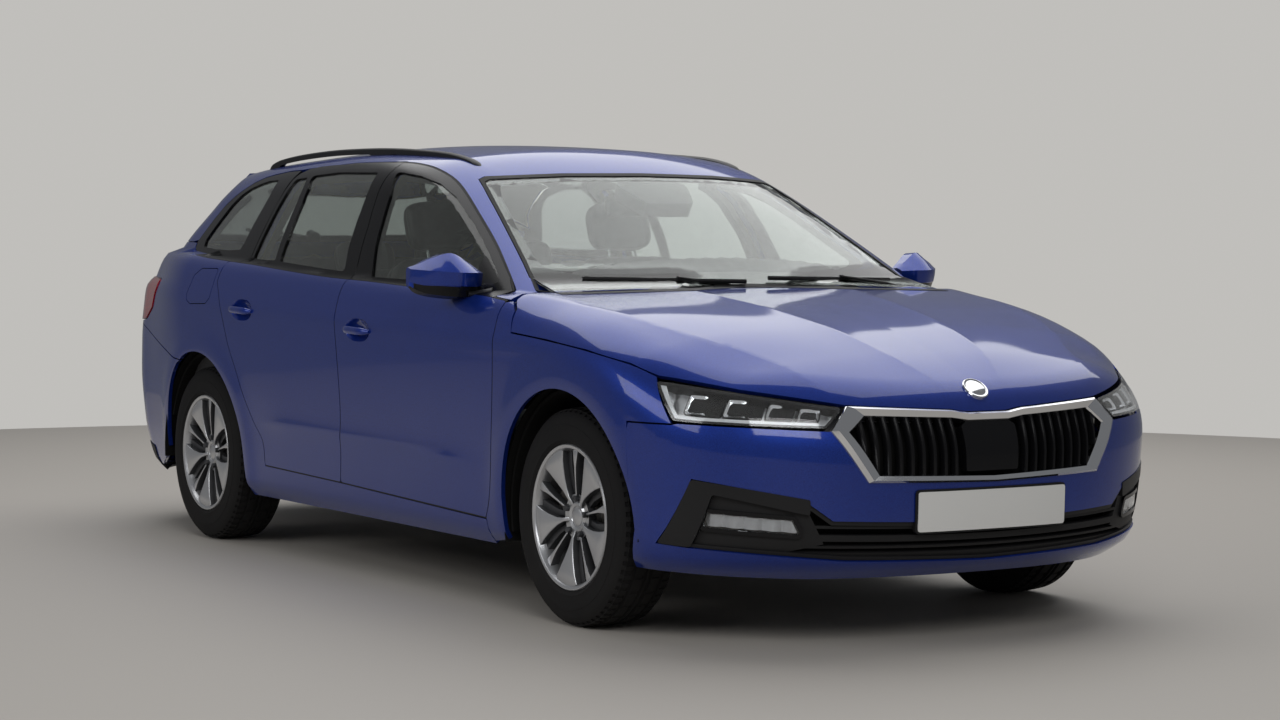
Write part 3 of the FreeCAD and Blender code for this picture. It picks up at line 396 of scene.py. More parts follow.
def rounded(points, radius, steps=4):
    """A closed outline with its corners rounded."""
    out = []
    for before, here, after in zip(points[-1:] + points[:-1], points, points[1:] + points[:1]):
        p = Vector(here)
        to_before, to_after = Vector(before) - p, Vector(after) - p
        if to_before.length < 1e-9 or to_after.length < 1e-9:
            continue
        angle = to_before.angle(to_after)
        if angle > NEARLY_STRAIGHT:
            out.append(tuple(p))
            continue
        reach = min(radius / tan(angle / 2), 0.45 * to_before.length, 0.45 * to_after.length)
        a, b = p + to_before.normalized() * reach, p + to_after.normalized() * reach
        for i in range(steps + 1):
            t = i / steps
            out.append(tuple(a * (1 - t) ** 2 + p * 2 * t * (1 - t) + b * t * t))
    return out


def grown(outline, amount):
    """A closed outline moved outwards, or inwards if the amount is negative."""
    area = sum(a[0] * b[1] - b[0] * a[1] for a, b in zip(outline, outline[1:] + outline[:1]))
    turn = 1.0 if area > 0 else -1.0
    moved = []
    for before, here, after in zip(outline[-1:] + outline[:-1], outline,
            outline[1:] + outline[:1]):
        normals = []
        for a, b in ((before, here), (here, after)):
            du, dv = b[0] - a[0], b[1] - a[1]
            length = hypot(du, dv) or 1.0
            normals.append((turn * dv / length, -turn * du / length))
        nu, nv = normals[0][0] + normals[1][0], normals[0][1] + normals[1][1]
        scale = amount * 2.0 / max(nu * nu + nv * nv, 0.8)
        moved.append((here[0] + nu * scale, here[1] + nv * scale))
    return moved


def within(outline, u, v):
    inside = False
    for a, b in zip(outline, outline[1:] + outline[:1]):
        if (a[1] > v) != (b[1] > v) and u < (b[0] - a[0]) * (v - a[1]) / (b[1] - a[1]) + a[0]:
            inside = not inside
    return inside


def laid(points, source, wrap, step=0.05, closed=True):
    """An outline drawn on one flat view, carried over the body to another."""
    return [wrap.flat(source.place(*p)) for p in dense(points, step, closed)]


# ---- meshes
def cut_along(bm, a, b, margin):
    """Cut the faces that a segment of an outline crosses."""
    start = Vector((a[0], a[1], 0.0))
    normal = Vector((b[1] - a[1], a[0] - b[0], 0.0))
    if normal.length < 1e-6:
        return
    normal.normalize()
    u0, u1 = min(a[0], b[0]) - margin, max(a[0], b[0]) + margin
    v0, v1 = min(a[1], b[1]) - margin, max(a[1], b[1]) + margin
    faces = []
    for face in bm.faces:
        co = face.verts[0].co
        if not (u0 < co.x < u1 and v0 < co.y < v1):
            continue
        us = [v.co.x for v in face.verts]
        vs = [v.co.y for v in face.verts]
        if (max(us) < u0 + margin or min(us) > u1 - margin or max(vs) < v0 + margin or min(vs) > v1
                - margin):
            continue
        sides = [normal.dot(v.co - start) for v in face.verts]
        if min(sides) < -1e-6 and max(sides) > 1e-6:
            faces.append(face)
    if not faces:
        return
    edges = {e for f in faces for e in f.edges}
    verts = {v for f in faces for v in f.verts}
    bmesh.ops.bisect_plane(bm, geom=list(verts) + list(edges) + faces, dist=1e-5, plane_co=start,
        plane_no=normal)


def flat_sheet(outline, holes=(), pitch=None, edge=0.003, seams=()):
    """A flat grid trimmed to an outline, with a narrow border of faces along every edge."""
    pitch = pitch or sizes().pitch
    us, vs = [p[0] for p in outline], [p[1] for p in outline]
    size_u, size_v = max(us) - min(us) + 0.002, max(vs) - min(vs) + 0.002
    bm = bmesh.new()
    place = Matrix.Translation(((max(us) + min(us)) / 2, (max(vs) + min(vs)) / 2, 0.0))
    bmesh.ops.create_grid(bm, x_segments=max(2, round(size_u / pitch)),
        y_segments=max(2, round(size_v / pitch)), size=0.5,
        matrix=place @ Matrix.Diagonal((size_u, size_v, 1.0, 1.0)))
    loops = [outline] + list(holes)
    if edge:
        loops += [grown(outline, -edge)] + [grown(hole, edge) for hole in holes]
    for loop in loops:
        for a, b in zip(loop, loop[1:] + loop[:1]):
            cut_along(bm, a, b, pitch * 1.5)
    for seam in seams:
        for a, b in zip(seam, seam[1:]):
            cut_along(bm, a, b, pitch * 1.5)
    gone = []
    for face in bm.faces:
        u, v, _ = face.calc_center_median()
        if not within(outline, u, v) or any(within(hole, u, v) for hole in holes):
            gone.append(face)
    bmesh.ops.delete(bm, geom=gone, context="FACES")
    bmesh.ops.remove_doubles(bm, verts=bm.verts, dist=0.0003)
    return bm


def shift(bm, by):
    bmesh.ops.translate(bm, vec=by, verts=bm.verts)


def add_mesh(bm, other):
    """Put another bmesh's geometry into this one."""
    mesh = bpy.data.meshes.new("part")
    other.to_mesh(mesh)
    other.free()
    bm.from_mesh(mesh)
    bpy.data.meshes.remove(mesh)


def shaded(mesh, angle=35.0):
    for polygon in mesh.polygons:
        polygon.use_smooth = True
    mesh.set_sharp_from_angle(angle=radians(angle))


def new_piece(name, bm, finish, body="root", replaces=(), angle=35.0):
    """Turn a bmesh into a piece that rides on a body; its slot is its first finish's name."""
    mesh = bpy.data.meshes.new(name)
    bm.to_mesh(mesh)
    bm.free()
    finishes = finish if isinstance(finish, list) else [finish]
    for one in finishes:
        mesh.materials.append(FINISHES[one])
    shaded(mesh, angle)
    piece = bpy.data.objects.new(name, mesh)
    bpy.context.collection.objects.link(piece)
    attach(piece, body)
    if replaces:
        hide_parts(*replaces)
    return piece


def mirror_copy(bm):
    other = bm.copy()
    bmesh.ops.scale(other, vec=(1.0, -1.0, 1.0), verts=other.verts)
    bmesh.ops.reverse_faces(other, faces=other.faces)
    return other


def panel(name, outline, wrap, finish, body="root", holes=(), replaces=(), skin=None,
        lift=0.0, pitch=None, hands=HANDS, edge=0.003, rise=None, angle=35.0, seams=()):
    """A pressed panel closed by a narrow wall all round its edge, on one side or on both."""
    bm = bmesh.new()
    for one in outline if isinstance(outline[0], list) else [outline]:
        add_mesh(bm, flat_sheet(one, holes, pitch, edge, seams))
    skin = skin or sizes().skin
    bmesh.ops.solidify(bm, geom=bm.faces[:], thickness=1.0)
    bm.verts.index_update()
    laid_points, normals, outer = {}, [], []
    for vert in bm.verts:
        u, v, depth = vert.co
        key = (round(u, 5), round(v, 5))
        if key not in laid_points:
            point = wrap.place(u, v)
            laid_points[key] = (point, wrap.normal(point))
        point, normal = laid_points[key]
        outer.append(depth > -0.5)
        above = lift + (rise(u, v) if rise else 0.0)
        vert.co = point + normal * (above if outer[-1] else lift - skin)
        normals.append(normal)
    bm.normal_update()
    bm.faces.ensure_lookup_table()
    agree = sum(face.calc_area() * face.normal.dot(normals[face.verts[0].index]) for face
        in bm.faces if all(outer[v.index] for v in face.verts))
    if agree < 0.0:
        bmesh.ops.reverse_faces(bm, faces=bm.faces)
        bm.normal_update()
    kinds = []
    for face in bm.faces:
        on_rim = sum(outer[v.index] for v in face.verts)
        kinds.append("skin" if on_rim == len(face.verts) else "rim" if on_rim else "inner")
    for hand, sign in hands:
        half = mirror_copy(bm) if sign > 0 else bm.copy()
        half.normal_update()
        flats = [f.normal.copy() for f in half.faces]
        title = name if len(hands) == 1 else f"{name}_{hand}"
        piece = new_piece(title, half, finish, body.format(hand=hand),
            [node.format(hand=hand) for node in replaces], angle)
        if rise:
            continue
        mesh = piece.data
        loop_normals = []
        for polygon, kind, flat in zip(mesh.polygons, kinds, flats):
            for index in polygon.vertices:
                if kind == "skin":
                    n = normals[index]
                    loop_normals.append(Vector((n.x, -n.y, n.z)) if sign > 0 else n)
                elif kind == "rim":
                    loop_normals.append(flat)
                else:
                    loop_normals.append(Vector())
        mesh.normals_split_custom_set(loop_normals)
    bm.free()


# ---- finishes
def node(tree, kind, **settings):
    made = tree.nodes.new("ShaderNode" + kind)
    for key, value in settings.items():
        if key in made.inputs:
            made.inputs[key].default_value = value
        else:
            setattr(made, key, value)
    return made


def effect(name, inputs, outputs):
    """An empty node group with named inputs and outputs."""
    group = bpy.data.node_groups.new(name, "ShaderNodeTree")
    for title, kind, value in inputs:
        socket = group.interface.new_socket(name=title, in_out="INPUT", socket_type="NodeSocket"
            + kind)
        if value is not None:
            socket.default_value = value
    for title, kind in outputs:
        group.interface.new_socket(name=title, in_out="OUTPUT", socket_type="NodeSocket" + kind)
    return group, group.nodes.new("NodeGroupInput"), group.nodes.new("NodeGroupOutput")


def wire(tree, *runs):
    """Links, each from a node's output to another's input."""
    for source, output, target, socket in runs:
        tree.links.new(source.outputs[output], target.inputs[socket])


def make_grain():
    """Fine moulded grain: a height and a roughness that vary over the surface."""
    group, start, end = effect("moulded_grain", [("Vector", "Vector", None),
        ("Scale", "Float", 900.0), ("Roughness", "Float", 0.5), ("Spread", "Float", 0.12)],
        [("Height", "Float"), ("Roughness", "Float")])
    cells = node(group, "TexVoronoi", feature="SMOOTH_F1")
    noise = node(group, "TexNoise", Scale=9.0, Detail=4.0)
    scaled = node(group, "Math", operation="MULTIPLY")
    swing = node(group, "Math", operation="SUBTRACT")
    swing.inputs[1].default_value = 0.5
    total = node(group, "Math", operation="ADD")
    wire(group, (start, "Vector", cells, "Vector"), (start, "Vector", noise, "Vector"),
        (start, "Scale", cells, "Scale"), (noise, "Fac", swing, 0), (swing, 0, scaled, 0),
        (start, "Spread", scaled, 1), (scaled, 0, total, 0), (start, "Roughness", total, 1),
        (cells, "Distance", end, "Height"), (total, 0, end, "Roughness"))
    return group


def make_wear():
    """Colour that drifts a little over the surface, with dust gathered low down."""
    group, start, end = effect("road_film", [("Vector", "Vector", None), ("Colour", "Color", None),
        ("Dust", "Color", (0.25, 0.22, 0.18, 1.0)), ("Amount", "Float", 0.1),
        ("Top", "Float", 0.35)], [("Colour", "Color"), ("Mask", "Float")])
    noise = node(group, "TexNoise", Scale=6.0, Detail=6.0, Roughness=0.65)
    split = node(group, "SeparateXYZ")
    low = node(group, "MapRange")
    preset(low, From_Min=0.0, To_Min=1.0, To_Max=0.15)
    spread = node(group, "Math", operation="MULTIPLY")
    amount = node(group, "Math", operation="MULTIPLY")
    mix = node(group, "Mix", data_type="RGBA")
    wire(group, (start, "Vector", noise, "Vector"), (start, "Vector", split, 0),
        (split, "Z", low, "Value"), (start, "Top", low, "From Max"), (noise, "Fac", spread, 0),
        (low, "Result", spread, 1), (spread, 0, amount, 0), (start, "Amount", amount, 1),
        (amount, 0, mix, "Factor"), (start, "Colour", mix, "A"), (start, "Dust", mix, "B"),
        (mix, "Result", end, "Colour"), (amount, 0, end, "Mask"))
    return group


def make_weave():
    """Plain woven cloth: crossed threads with a height and a shade for each."""
    group, start, end = effect("woven_cloth", [("Vector", "Vector", None),
        ("Scale", "Float", 450.0)], [("Height", "Float"), ("Shade", "Float")])
    waves = []
    for direction in "XZY":
        waves.append(node(group, "TexWave", bands_direction=direction, Distortion=0.6))
        wire(group, (start, "Vector", waves[-1], "Vector"), (start, "Scale", waves[-1], "Scale"))
    first = node(group, "Math", operation="MAXIMUM")
    both = node(group, "Math", operation="MULTIPLY")
    fleck = node(group, "TexNoise", Scale=260.0, Detail=3.0)
    wire(group, (start, "Vector", fleck, "Vector"), (waves[0], "Fac", first, 0),
        (waves[2], "Fac", first, 1), (first, 0, both, 0), (waves[1], "Fac", both, 1),
        (both, 0, end, "Height"), (fleck, "Fac", end, "Shade"))
    return group


GROUPS = {}
FINISHES = {}


def new_finish(name):
    """A material's node tree, with its shader and the object's coordinates."""
    material = bpy.data.materials.new(name)
    material.use_nodes = True
    FINISHES[name] = material
    tree = material.node_tree
    return tree, tree.nodes["Principled BSDF"], node(tree, "TexCoord")


def preset(made, **values):
    """Values on a node's own sockets, with a low line for each space in a socket's name."""
    for key, value in values.items():
        made.inputs[key.replace("_", " ")].default_value = value


def finish_node(name, colour, rough=0.5, metal=0.0, grain=0.0, grain_scale=900.0, spread=0.12,
        dust=0.0, dust_top=0.35, **shader):
    """A material whose colour, roughness and bump come from the shared effects."""
    tree, bsdf, coords = new_finish(name)
    grains = node(tree, "Group", node_tree=GROUPS["grain"], Scale=grain_scale, Roughness=rough,
        Spread=spread)
    film = node(tree, "Group", node_tree=GROUPS["wear"], Colour=(*colour[:3], 1.0), Amount=dust,
        Top=dust_top)
    wire(tree, (coords, "Object", grains, "Vector"), (coords, "Object", film, "Vector"),
        (film, "Colour", bsdf, "Base Color"), (grains, "Roughness", bsdf, "Roughness"))
    if grain:
        bump = node(tree, "Bump", Strength=grain, Distance=0.0004)
        wire(tree, (grains, "Height", bump, "Height"), (bump, "Normal", bsdf, "Normal"))
    preset(bsdf, Metallic=metal, **shader)


def make_paint():
    """Metallic paint: tinted flake under a deep clear coat."""
    tree, bsdf, coords = new_finish("blue_paint")
    flakes = node(tree, "TexVoronoi", Scale=1400.0)
    drift = node(tree, "TexNoise", Scale=3.0, Detail=2.0)
    ramp = node(tree, "MapRange")
    preset(ramp, From_Min=0.15, From_Max=0.95)
    mix = node(tree, "Mix", data_type="RGBA")
    preset(mix, A=colours().paint, B=colours().flake)
    rough = node(tree, "MapRange")
    preset(rough, To_Min=0.36, To_Max=0.46)
    film = node(tree, "Group", node_tree=GROUPS["wear"], Amount=0.05, Top=0.4)
    bump = node(tree, "Bump", Strength=0.06, Distance=0.0002)
    wire(tree, (coords, "Object", flakes, "Vector"), (coords, "Object", drift, "Vector"),
        (coords, "Object", film, "Vector"), (flakes, "Color", ramp, "Value"),
        (ramp, "Result", mix, "Factor"), (mix, "Result", film, "Colour"),
        (film, "Colour", bsdf, "Base Color"), (drift, "Fac", rough, "Value"),
        (rough, "Result", bsdf, "Roughness"), (flakes, "Distance", bump, "Height"),
        (bump, "Normal", bsdf, "Normal"))
    preset(bsdf, Metallic=0.6, Specular_IOR_Level=0.05, Coat_Weight=1.0, Coat_Roughness=0.06,
        Coat_IOR=1.5)


def make_cloth():
    """Seat cloth: a weave with a soft sheen."""
    tree, bsdf, coords = new_finish("seat_fabric")
    weave = node(tree, "Group", node_tree=GROUPS["weave"], Scale=160.0)
    mix = node(tree, "Mix", data_type="RGBA")
    preset(mix, A=colours().cloth, B=(0.06, 0.061, 0.066, 1.0))
    bump = node(tree, "Bump", Strength=0.5, Distance=0.0006)
    wire(tree, (coords, "Object", weave, "Vector"), (weave, "Shade", mix, "Factor"),
        (mix, "Result", bsdf, "Base Color"), (weave, "Height", bump, "Height"),
        (bump, "Normal", bsdf, "Normal"))
    preset(bsdf, Roughness=0.9, Sheen_Weight=0.25)


def make_glass(name, colour):
    """Clear or tinted glass with a faint film."""
    tree, bsdf, coords = new_finish(name)
    film = node(tree, "Group", node_tree=GROUPS["wear"], Colour=(*colour, 1.0), Amount=0.03,
        Top=1.2)
    wire(tree, (coords, "Object", film, "Vector"), (film, "Colour", bsdf, "Base Color"))
    preset(bsdf, Roughness=0.0, IOR=1.45, Transmission_Weight=1.0)


class WAGON_OT_finishes(Operator):
    """Make the paint, glass, plastic, rubber, metal and cloth finishes"""
    bl_idname = "wagon.finishes"
    bl_label = "Finishes"

    def execute(self, context):
        GROUPS["grain"] = make_grain()
        GROUPS["wear"] = make_wear()
        GROUPS["weave"] = make_weave()
        make_paint()
        make_cloth()
        make_glass("screen_glass", (0.8, 0.86, 0.84))
        make_glass("side_glass", (0.55, 0.6, 0.58))
        make_glass("rear_glass", (0.42, 0.46, 0.45))
        make_glass("lamp_glass", (0.93, 0.95, 0.97))
        finish_node("painted_dark", (0.012, 0.013, 0.018), 0.55, dust=0.1)
        finish_node("black_gloss", (0.006, 0.006, 0.007), 0.22, spread=0.03,
            Specular_IOR_Level=0.25)
        finish_node("black_satin", (0.01, 0.01, 0.011), 0.42, grain=0.1, Specular_IOR_Level=0.35)
        finish_node("black_plastic", (0.01, 0.01, 0.011), 0.55, grain=0.35, grain_scale=700.0,
            dust=0.06, Specular_IOR_Level=0.3)
        finish_node("cabin_plastic", (0.022, 0.022, 0.024), 0.62, grain=0.35)
        finish_node("cabin_leather", (0.018, 0.018, 0.019), 0.5, grain=0.5, grain_scale=420.0)
        finish_node("head_lining", (0.45, 0.44, 0.42), 0.95, grain=0.3, grain_scale=1200.0)
        finish_node("chrome", (0.83, 0.84, 0.86), 0.07, 1.0, spread=0.03)
        finish_node("satin_chrome", (0.66, 0.67, 0.69), 0.24, 1.0, spread=0.04)
        finish_node("wheel_alloy", colours().alloy, 0.3, 0.85, spread=0.08, dust=0.1, dust_top=0.9)
        finish_node("wheel_pocket", (0.055, 0.057, 0.062), 0.45, 0.4, dust=0.12)
        finish_node("disc_iron", (0.3, 0.29, 0.28), 0.38, 0.9, dust=0.25)
        finish_node("tyre_rubber", colours().rubber, 0.78, grain=0.25, grain_scale=300.0,
            dust=0.05, dust_top=0.7, Specular_IOR_Level=0.2)
        finish_node("chassis_steel", (0.045, 0.045, 0.047), 0.6, 0.3, grain=0.2, dust=0.3)
        finish_node("engine_metal", (0.22, 0.22, 0.23), 0.5, 0.7, grain=0.3, dust=0.2)
        finish_node("exhaust_steel", (0.36, 0.34, 0.31), 0.42, 0.9, dust=0.25)
        finish_node("cast_iron", (0.1, 0.09, 0.085), 0.7, 0.4, grain=0.4, dust=0.25)
        finish_node("liner_plastic", (0.006, 0.006, 0.006), 0.85, grain=0.4, dust=0.04,
            Specular_IOR_Level=0.15)
        finish_node("red_lens", (0.42, 0.008, 0.01), 0.1, spread=0.02, Coat_Weight=1.0,
            Coat_Roughness=0.03)
        finish_node("white_lens", (0.8, 0.82, 0.84), 0.12, spread=0.02, Coat_Weight=1.0)
        finish_node("lamp_inside", (0.58, 0.59, 0.61), 0.3, 0.7, spread=0.05)
        finish_node("plate_white", (0.78, 0.78, 0.76), 0.35, spread=0.05)
        finish_node("plate_yellow", (0.8, 0.58, 0.05), 0.35, spread=0.05)
        finish_node("mirror_silver", (0.86, 0.87, 0.88), 0.02, 1.0, spread=0.01)
        return {"FINISHED"}


# ---- outlines of the panels
FRONT_DOOR_FRONT = mm((960, 279), (1003, 372), (1055, 660), (1078, 850), (1066, 960))
FRONT_DOOR_TOP = mm((902, 1010), (749, 1098), (587, 1183), (399, 1276), (264, 1329), (125, 1362),
    (-20, 1379), (-110, 1384))
B_LINE = mm((-33, 1165), (-5, 1004), (-25, 940), (-12, 560), (-55, 306))
REAR_DOOR_TOP = mm((-450, 1387), (-840, 1372))
REAR_DOOR_REAR = mm((-894, 1283), (-914, 1159), (-950, 1040), (-1034, 1034), (-1040, 960),
    (-989, 894), (-950, 798), (-922, 731), (-873, 655), (-816, 561), (-742, 465), (-676, 400),
    (-672, 318))
FRONT_PANE = mm((905, 988), (730, 1090), (569, 1177), (383, 1265), (252, 1310), (117, 1336),
    (-20, 1350), (-54, 1351), (14, 1273), (44, 1189), (66, 1106), (108, 1000))
REAR_PANE = mm((-98, 1014), (-118, 1087), (-126, 1155), (-136, 1223), (-152, 1291), (-186, 1352),
    (-508, 1357), (-728, 1347), (-680, 1303), (-661, 1249), (-655, 1181), (-655, 1117),
    (-662, 1041))
FIXED_PANE = mm((-704, 1043), (-704, 1117), (-705, 1181), (-711, 1249), (-726, 1307), (-762, 1342),
    (-858, 1336), (-866, 1283), (-880, 1218), (-890, 1159), (-908, 1090), (-922, 1048))
QUARTER_LINE = mm((-905, 1368), (-1025, 1366), (-1155, 1355), (-1238, 1345), (-1310, 1328),
    (-1370, 1304), (-1435, 1276), (-1500, 1240), (-1551, 1194), (-1597, 1142), (-1632, 1106))
QUARTER_PANE = mm((-1091, 1079), (-1068, 1098), (-1051, 1159), (-1032, 1225), (-1022, 1284),
    (-1042, 1336), (-1143, 1334), (-1227, 1322), (-1309, 1303), (-1359, 1282), (-1417, 1245),
    (-1461, 1196), (-1505, 1146), (-1534, 1111), (-1526, 1086), (-1379, 1078), (-1198, 1075))
WING_TOP = mm((1182, 851), (1390, 836), (1604, 815), (1788, 784), (1884, 753))
FUEL_FLAP = mm((-1300, 915), (-1262, 985), (-1212, 1010), (-1060, 1012), (-1084, 900),
    (-1118, 879), (-1262, 875), (-1298, 889))
WINDSCREEN = mm((0, 985), (-727, 968), (-688, 1052), (-644, 1156), (-598, 1264), (-570, 1320),
    (-545, 1330), (-300, 1342), (0, 1346))
GRILLE = mm((0, 653), (-70, 653), (-125, 661), (-446, 678), (-506, 613), (-408, 470), (0, 460))
GRILLE_MOUTH = mm((0, 633), (-72, 633), (-128, 641), (-398, 652), (-452, 610), (-372, 490),
    (0, 479))
MOUTH = mm((0, 350), (-240, 357), (-500, 366), (-579, 426), (-812, 478), (-850, 290), (-800, 283),
    (-456, 251), (0, 236))
TAILGATE = mm((-560, 618), (-630, 622), (-678, 700), (-688, 800), (-680, 950), (-640, 1010),
    (-574, 1110), (-512, 1230), (-470, 1320))
BACK_PANE = mm((0, 1104), (-520, 1110), (-462, 1215), (-398, 1338), (0, 1345))
WAIST = mm((1070, 944), (900, 958), (500, 971), (100, 986), (-154, 993), (-400, 1004),
    (-663, 1018), (-846, 1028), (-1030, 1036), (-1272, 1048), (-1401, 1057), (-1640, 1072))
WAIST_Z = Curve(WAIST)
GAP = 0.005


def both_halves(points):
    """A closed outline of (y, z) from its right half, which starts and ends at y = 0."""
    return points + [(-y, z) for y, z in reversed(points) if y != 0]


def waist_run(x0, x1, count=8, drop=0.0):
    """Points along the waist, under the glass, from one x to another."""
    return [(x0 + (x1 - x0) * i / count, WAIST_Z(x0 + (x1 - x0) * i / count) - drop) for i
        in range(count + 1)]


def arch_run(axle_x, start, end, radius=ARCH_R, count=26):
    """Points round a wheel arch between two angles in degrees, measured from forwards."""
    return [(axle_x + radius * cos(radians(start + (end - start) * i / count)), AXLE_Z + radius
        * sin(radians(start + (end - start) * i / count))) for i in range(count + 1)]


# ---- painted panels
def front_door_low():
    """The front door below its glass."""
    b_low = [p for p in reversed(flow(B_LINE[1:], 6)) if p[1] < WAIST_Z(p[0])]
    return flow(FRONT_DOOR_FRONT[:4], 5) + waist_run(1.07, -0.006) + b_low[::-1]


def rear_door_low():
    b_low = [p for p in reversed(flow(B_LINE[1:], 6)) if p[1] < WAIST_Z(p[0])]
    return [(x - GAP, z) for x, z in b_low] + waist_run(-0.011, -1.034) + flow(REAR_DOOR_REAR[4:],
        4)


def front_door_line():
    """The whole front door, with the frame of its glass."""
    low = front_door_low()
    start = next(i for i, p in enumerate(low) if p[1] > 0.94)
    return (low[:start] + mm((1066, 945), (984, 952), (960, 971)) + flow(FRONT_DOOR_TOP, 5)
        + mm((-63, 1262), (-30, 1165), (-6, 998)) + low[start + 9:])


def rear_door_line():
    low = rear_door_low()
    start = next(i for i, p in enumerate(low) if p[1] > 0.98)
    return (low[:start] + mm((-11, 998), (-35, 1165), (-68, 1262), (-116, 1386))
        + flow(REAR_DOOR_TOP + REAR_DOOR_REAR[:3], 4) + REAR_DOOR_REAR[3:4]
        + flow(REAR_DOOR_REAR[4:], 4))


class WAGON_OT_doors(Operator):
    """Outer skins of the four doors, with black frames round their glass"""
    bl_idname = "wagon.doors"
    bl_label = "Door skins"

    def execute(self, context):
        top = flow(FRONT_DOOR_TOP, 5)
        low = front_door_low()
        dishes = [handle_dish(x, z) for _, x, z in HANDLES]
        panel("front_door_skin", rounded(low, 0.012), SIDE, "blue_paint", "front_door_{hand}",
            holes=dishes[:1], replaces=["front_door_{hand}"])
        frame_line = [(0.984, WAIST_Z(0.984) + 0.001), (0.96, 0.971)] + top
        frame_line += [(-0.063, 1.262), (-0.03, 1.165)]
        frame_line += waist_run(-0.006, 0.984)[:-1]
        pane = rounded(FRONT_PANE, 0.018)
        panel("front_door_frame", frame_line, SIDE, "black_gloss", "front_door_{hand}",
            holes=[pane], lift=0.0006)
        low = rear_door_low()
        panel("rear_door_skin", rounded(low, 0.01), SIDE, "blue_paint", "rear_door_{hand}",
            holes=dishes[1:], replaces=["rear_door_{hand}"])
        frame_line = [(-0.011, WAIST_Z(0.0)), (-0.035, 1.165), (-0.068, 1.262), (-0.116, 1.386)]
        frame_line += flow(REAR_DOOR_TOP + REAR_DOOR_REAR[:2], 4)
        frame_line += waist_run(-0.948, -0.011)[:-1]
        panel("rear_door_frame", frame_line, SIDE, "black_gloss", "rear_door_{hand}",
            holes=[rounded(REAR_PANE, 0.018), rounded(FIXED_PANE, 0.014)], lift=0.0006)
        return {"FINISHED"}


def cant_line():
    """The roof's lower edge along the right side, from the screen pillar to the tailgate."""
    doors = mm((1085, 944), (1040, 947.5), (990, 952), (965, 972))
    doors += flow(FRONT_DOOR_TOP, 4)[:-1]
    doors += mm((-115, 1386), (-450, 1387), (-840, 1372))
    side_line = [(x, z + 0.005) for x, z in doors + QUARTER_LINE]
    return side_line + [(-1.7, 1.105), (-2.02, 1.105)]


def roof_line(side_line):
    """Roof with its cant rails and screen pillars, down to the doors."""
    right = laid(side_line, SIDE, TOP, 0.05, False)
    screen = laid([(y * 1.007, z + 0.004) for y, z in WINDSCREEN[:1:-1]] + [(-0.733, 0.968)],
        SCREEN, TOP, 0.05, False)
    gate = mm((-577, 1105), (-512, 1230), (-470, 1320))
    back = laid([(y - GAP, z) for y, z in gate], BACK, TOP, 0.05, False)
    foot = [TOP.flat((1.094, y, deck_height(1.094, y))) for y in (-0.74, -0.79, -0.842)]
    half = screen + foot + right + back + [(-1.825, -0.4)]
    return half + [(x, -v) for x, v in reversed(half)]


class WAGON_OT_sides(Operator):
    """Wings, sills, rear quarters and the roof with its pillars"""
    bl_idname = "wagon.sides"
    bl_label = "Side panels and roof"

    def execute(self, context):
        lip = [(x + GAP, z) for x, z in flow(FRONT_DOOR_FRONT[:4], 5)]
        wing = [(0.968, 0.205)] + lip + mm((1075, 940), (1106, 944), (1150, 917))
        wing += flow(WING_TOP, 4) + [(1.975, 0.629), (1.823, 0.629)]
        wing += [p for p in arch_run(FRONT_X, 0, 180, count=36) if p[0] < 1.82 and p[1] > 0.33]
        wing += [(1.08, 0.22)]
        panel("wing_skin", wing, SIDE, "blue_paint", replaces=["wings"])
        sill = mm((962, 196), (962, 272), (-50, 301), (-672, 313))
        sill += [(x - GAP, z) for x, z in flow(REAR_DOOR_REAR[4:], 4)[::-1] if z > 0.33]
        sill += waist_run(-1.039, -1.615, 8)
        sill += [(-1.64, 1.083), (-1.643, 1.1), (-1.7, 1.102), (-2.02, 1.102)]
        sill += [(BACK.place(y - GAP, z).x, z) for y, z
            in dense(mm((-574, 1100), (-640, 1010), (-680, 975)), 0.03, False)]
        sill += mm((-2200, 971), (-1704, 964), (-1706, 926), (-1782, 845), (-1895, 799),
            (-2010, 790), (-1450, 670), (-1384, 664))
        sill += [p for p in arch_run(REAR_X, 180, 0, count=36) if p[0] > -1.384 and p[1] > 0.3]
        sill += [(-0.845, 0.196)]
        flap = rounded(FUEL_FLAP, 0.02)
        for hand in HANDS:
            panel("quarter_skin_" + hand[0], sill, SIDE, "blue_paint",
                holes=[flap] if hand[0] == "right" else [], hands=[hand])
        panel("fuel_flap_skin", grown(flap, -0.003), SIDE, "blue_paint", "fuel_flap",
            replaces=["fuel_flap"], hands=HANDS[:1])
        panel("roof_skin", roof_line(cant_line()), TOP, "blue_paint", hands=CENTRE,
            replaces=["roof", "body_side_right", "body_side_left"])
        quarter = [(-0.953, WAIST_Z(-0.953))] + [(x - GAP, z) for x, z in REAR_DOOR_REAR[:2][::-1]]
        quarter += QUARTER_LINE + [(-1.628, 1.082)] + waist_run(-1.61, -0.953)[:-1]
        panel("quarter_frame", quarter, SIDE, "black_gloss", holes=[rounded(QUARTER_PANE, 0.012)],
            lift=0.0006)
        return {"FINISHED"}


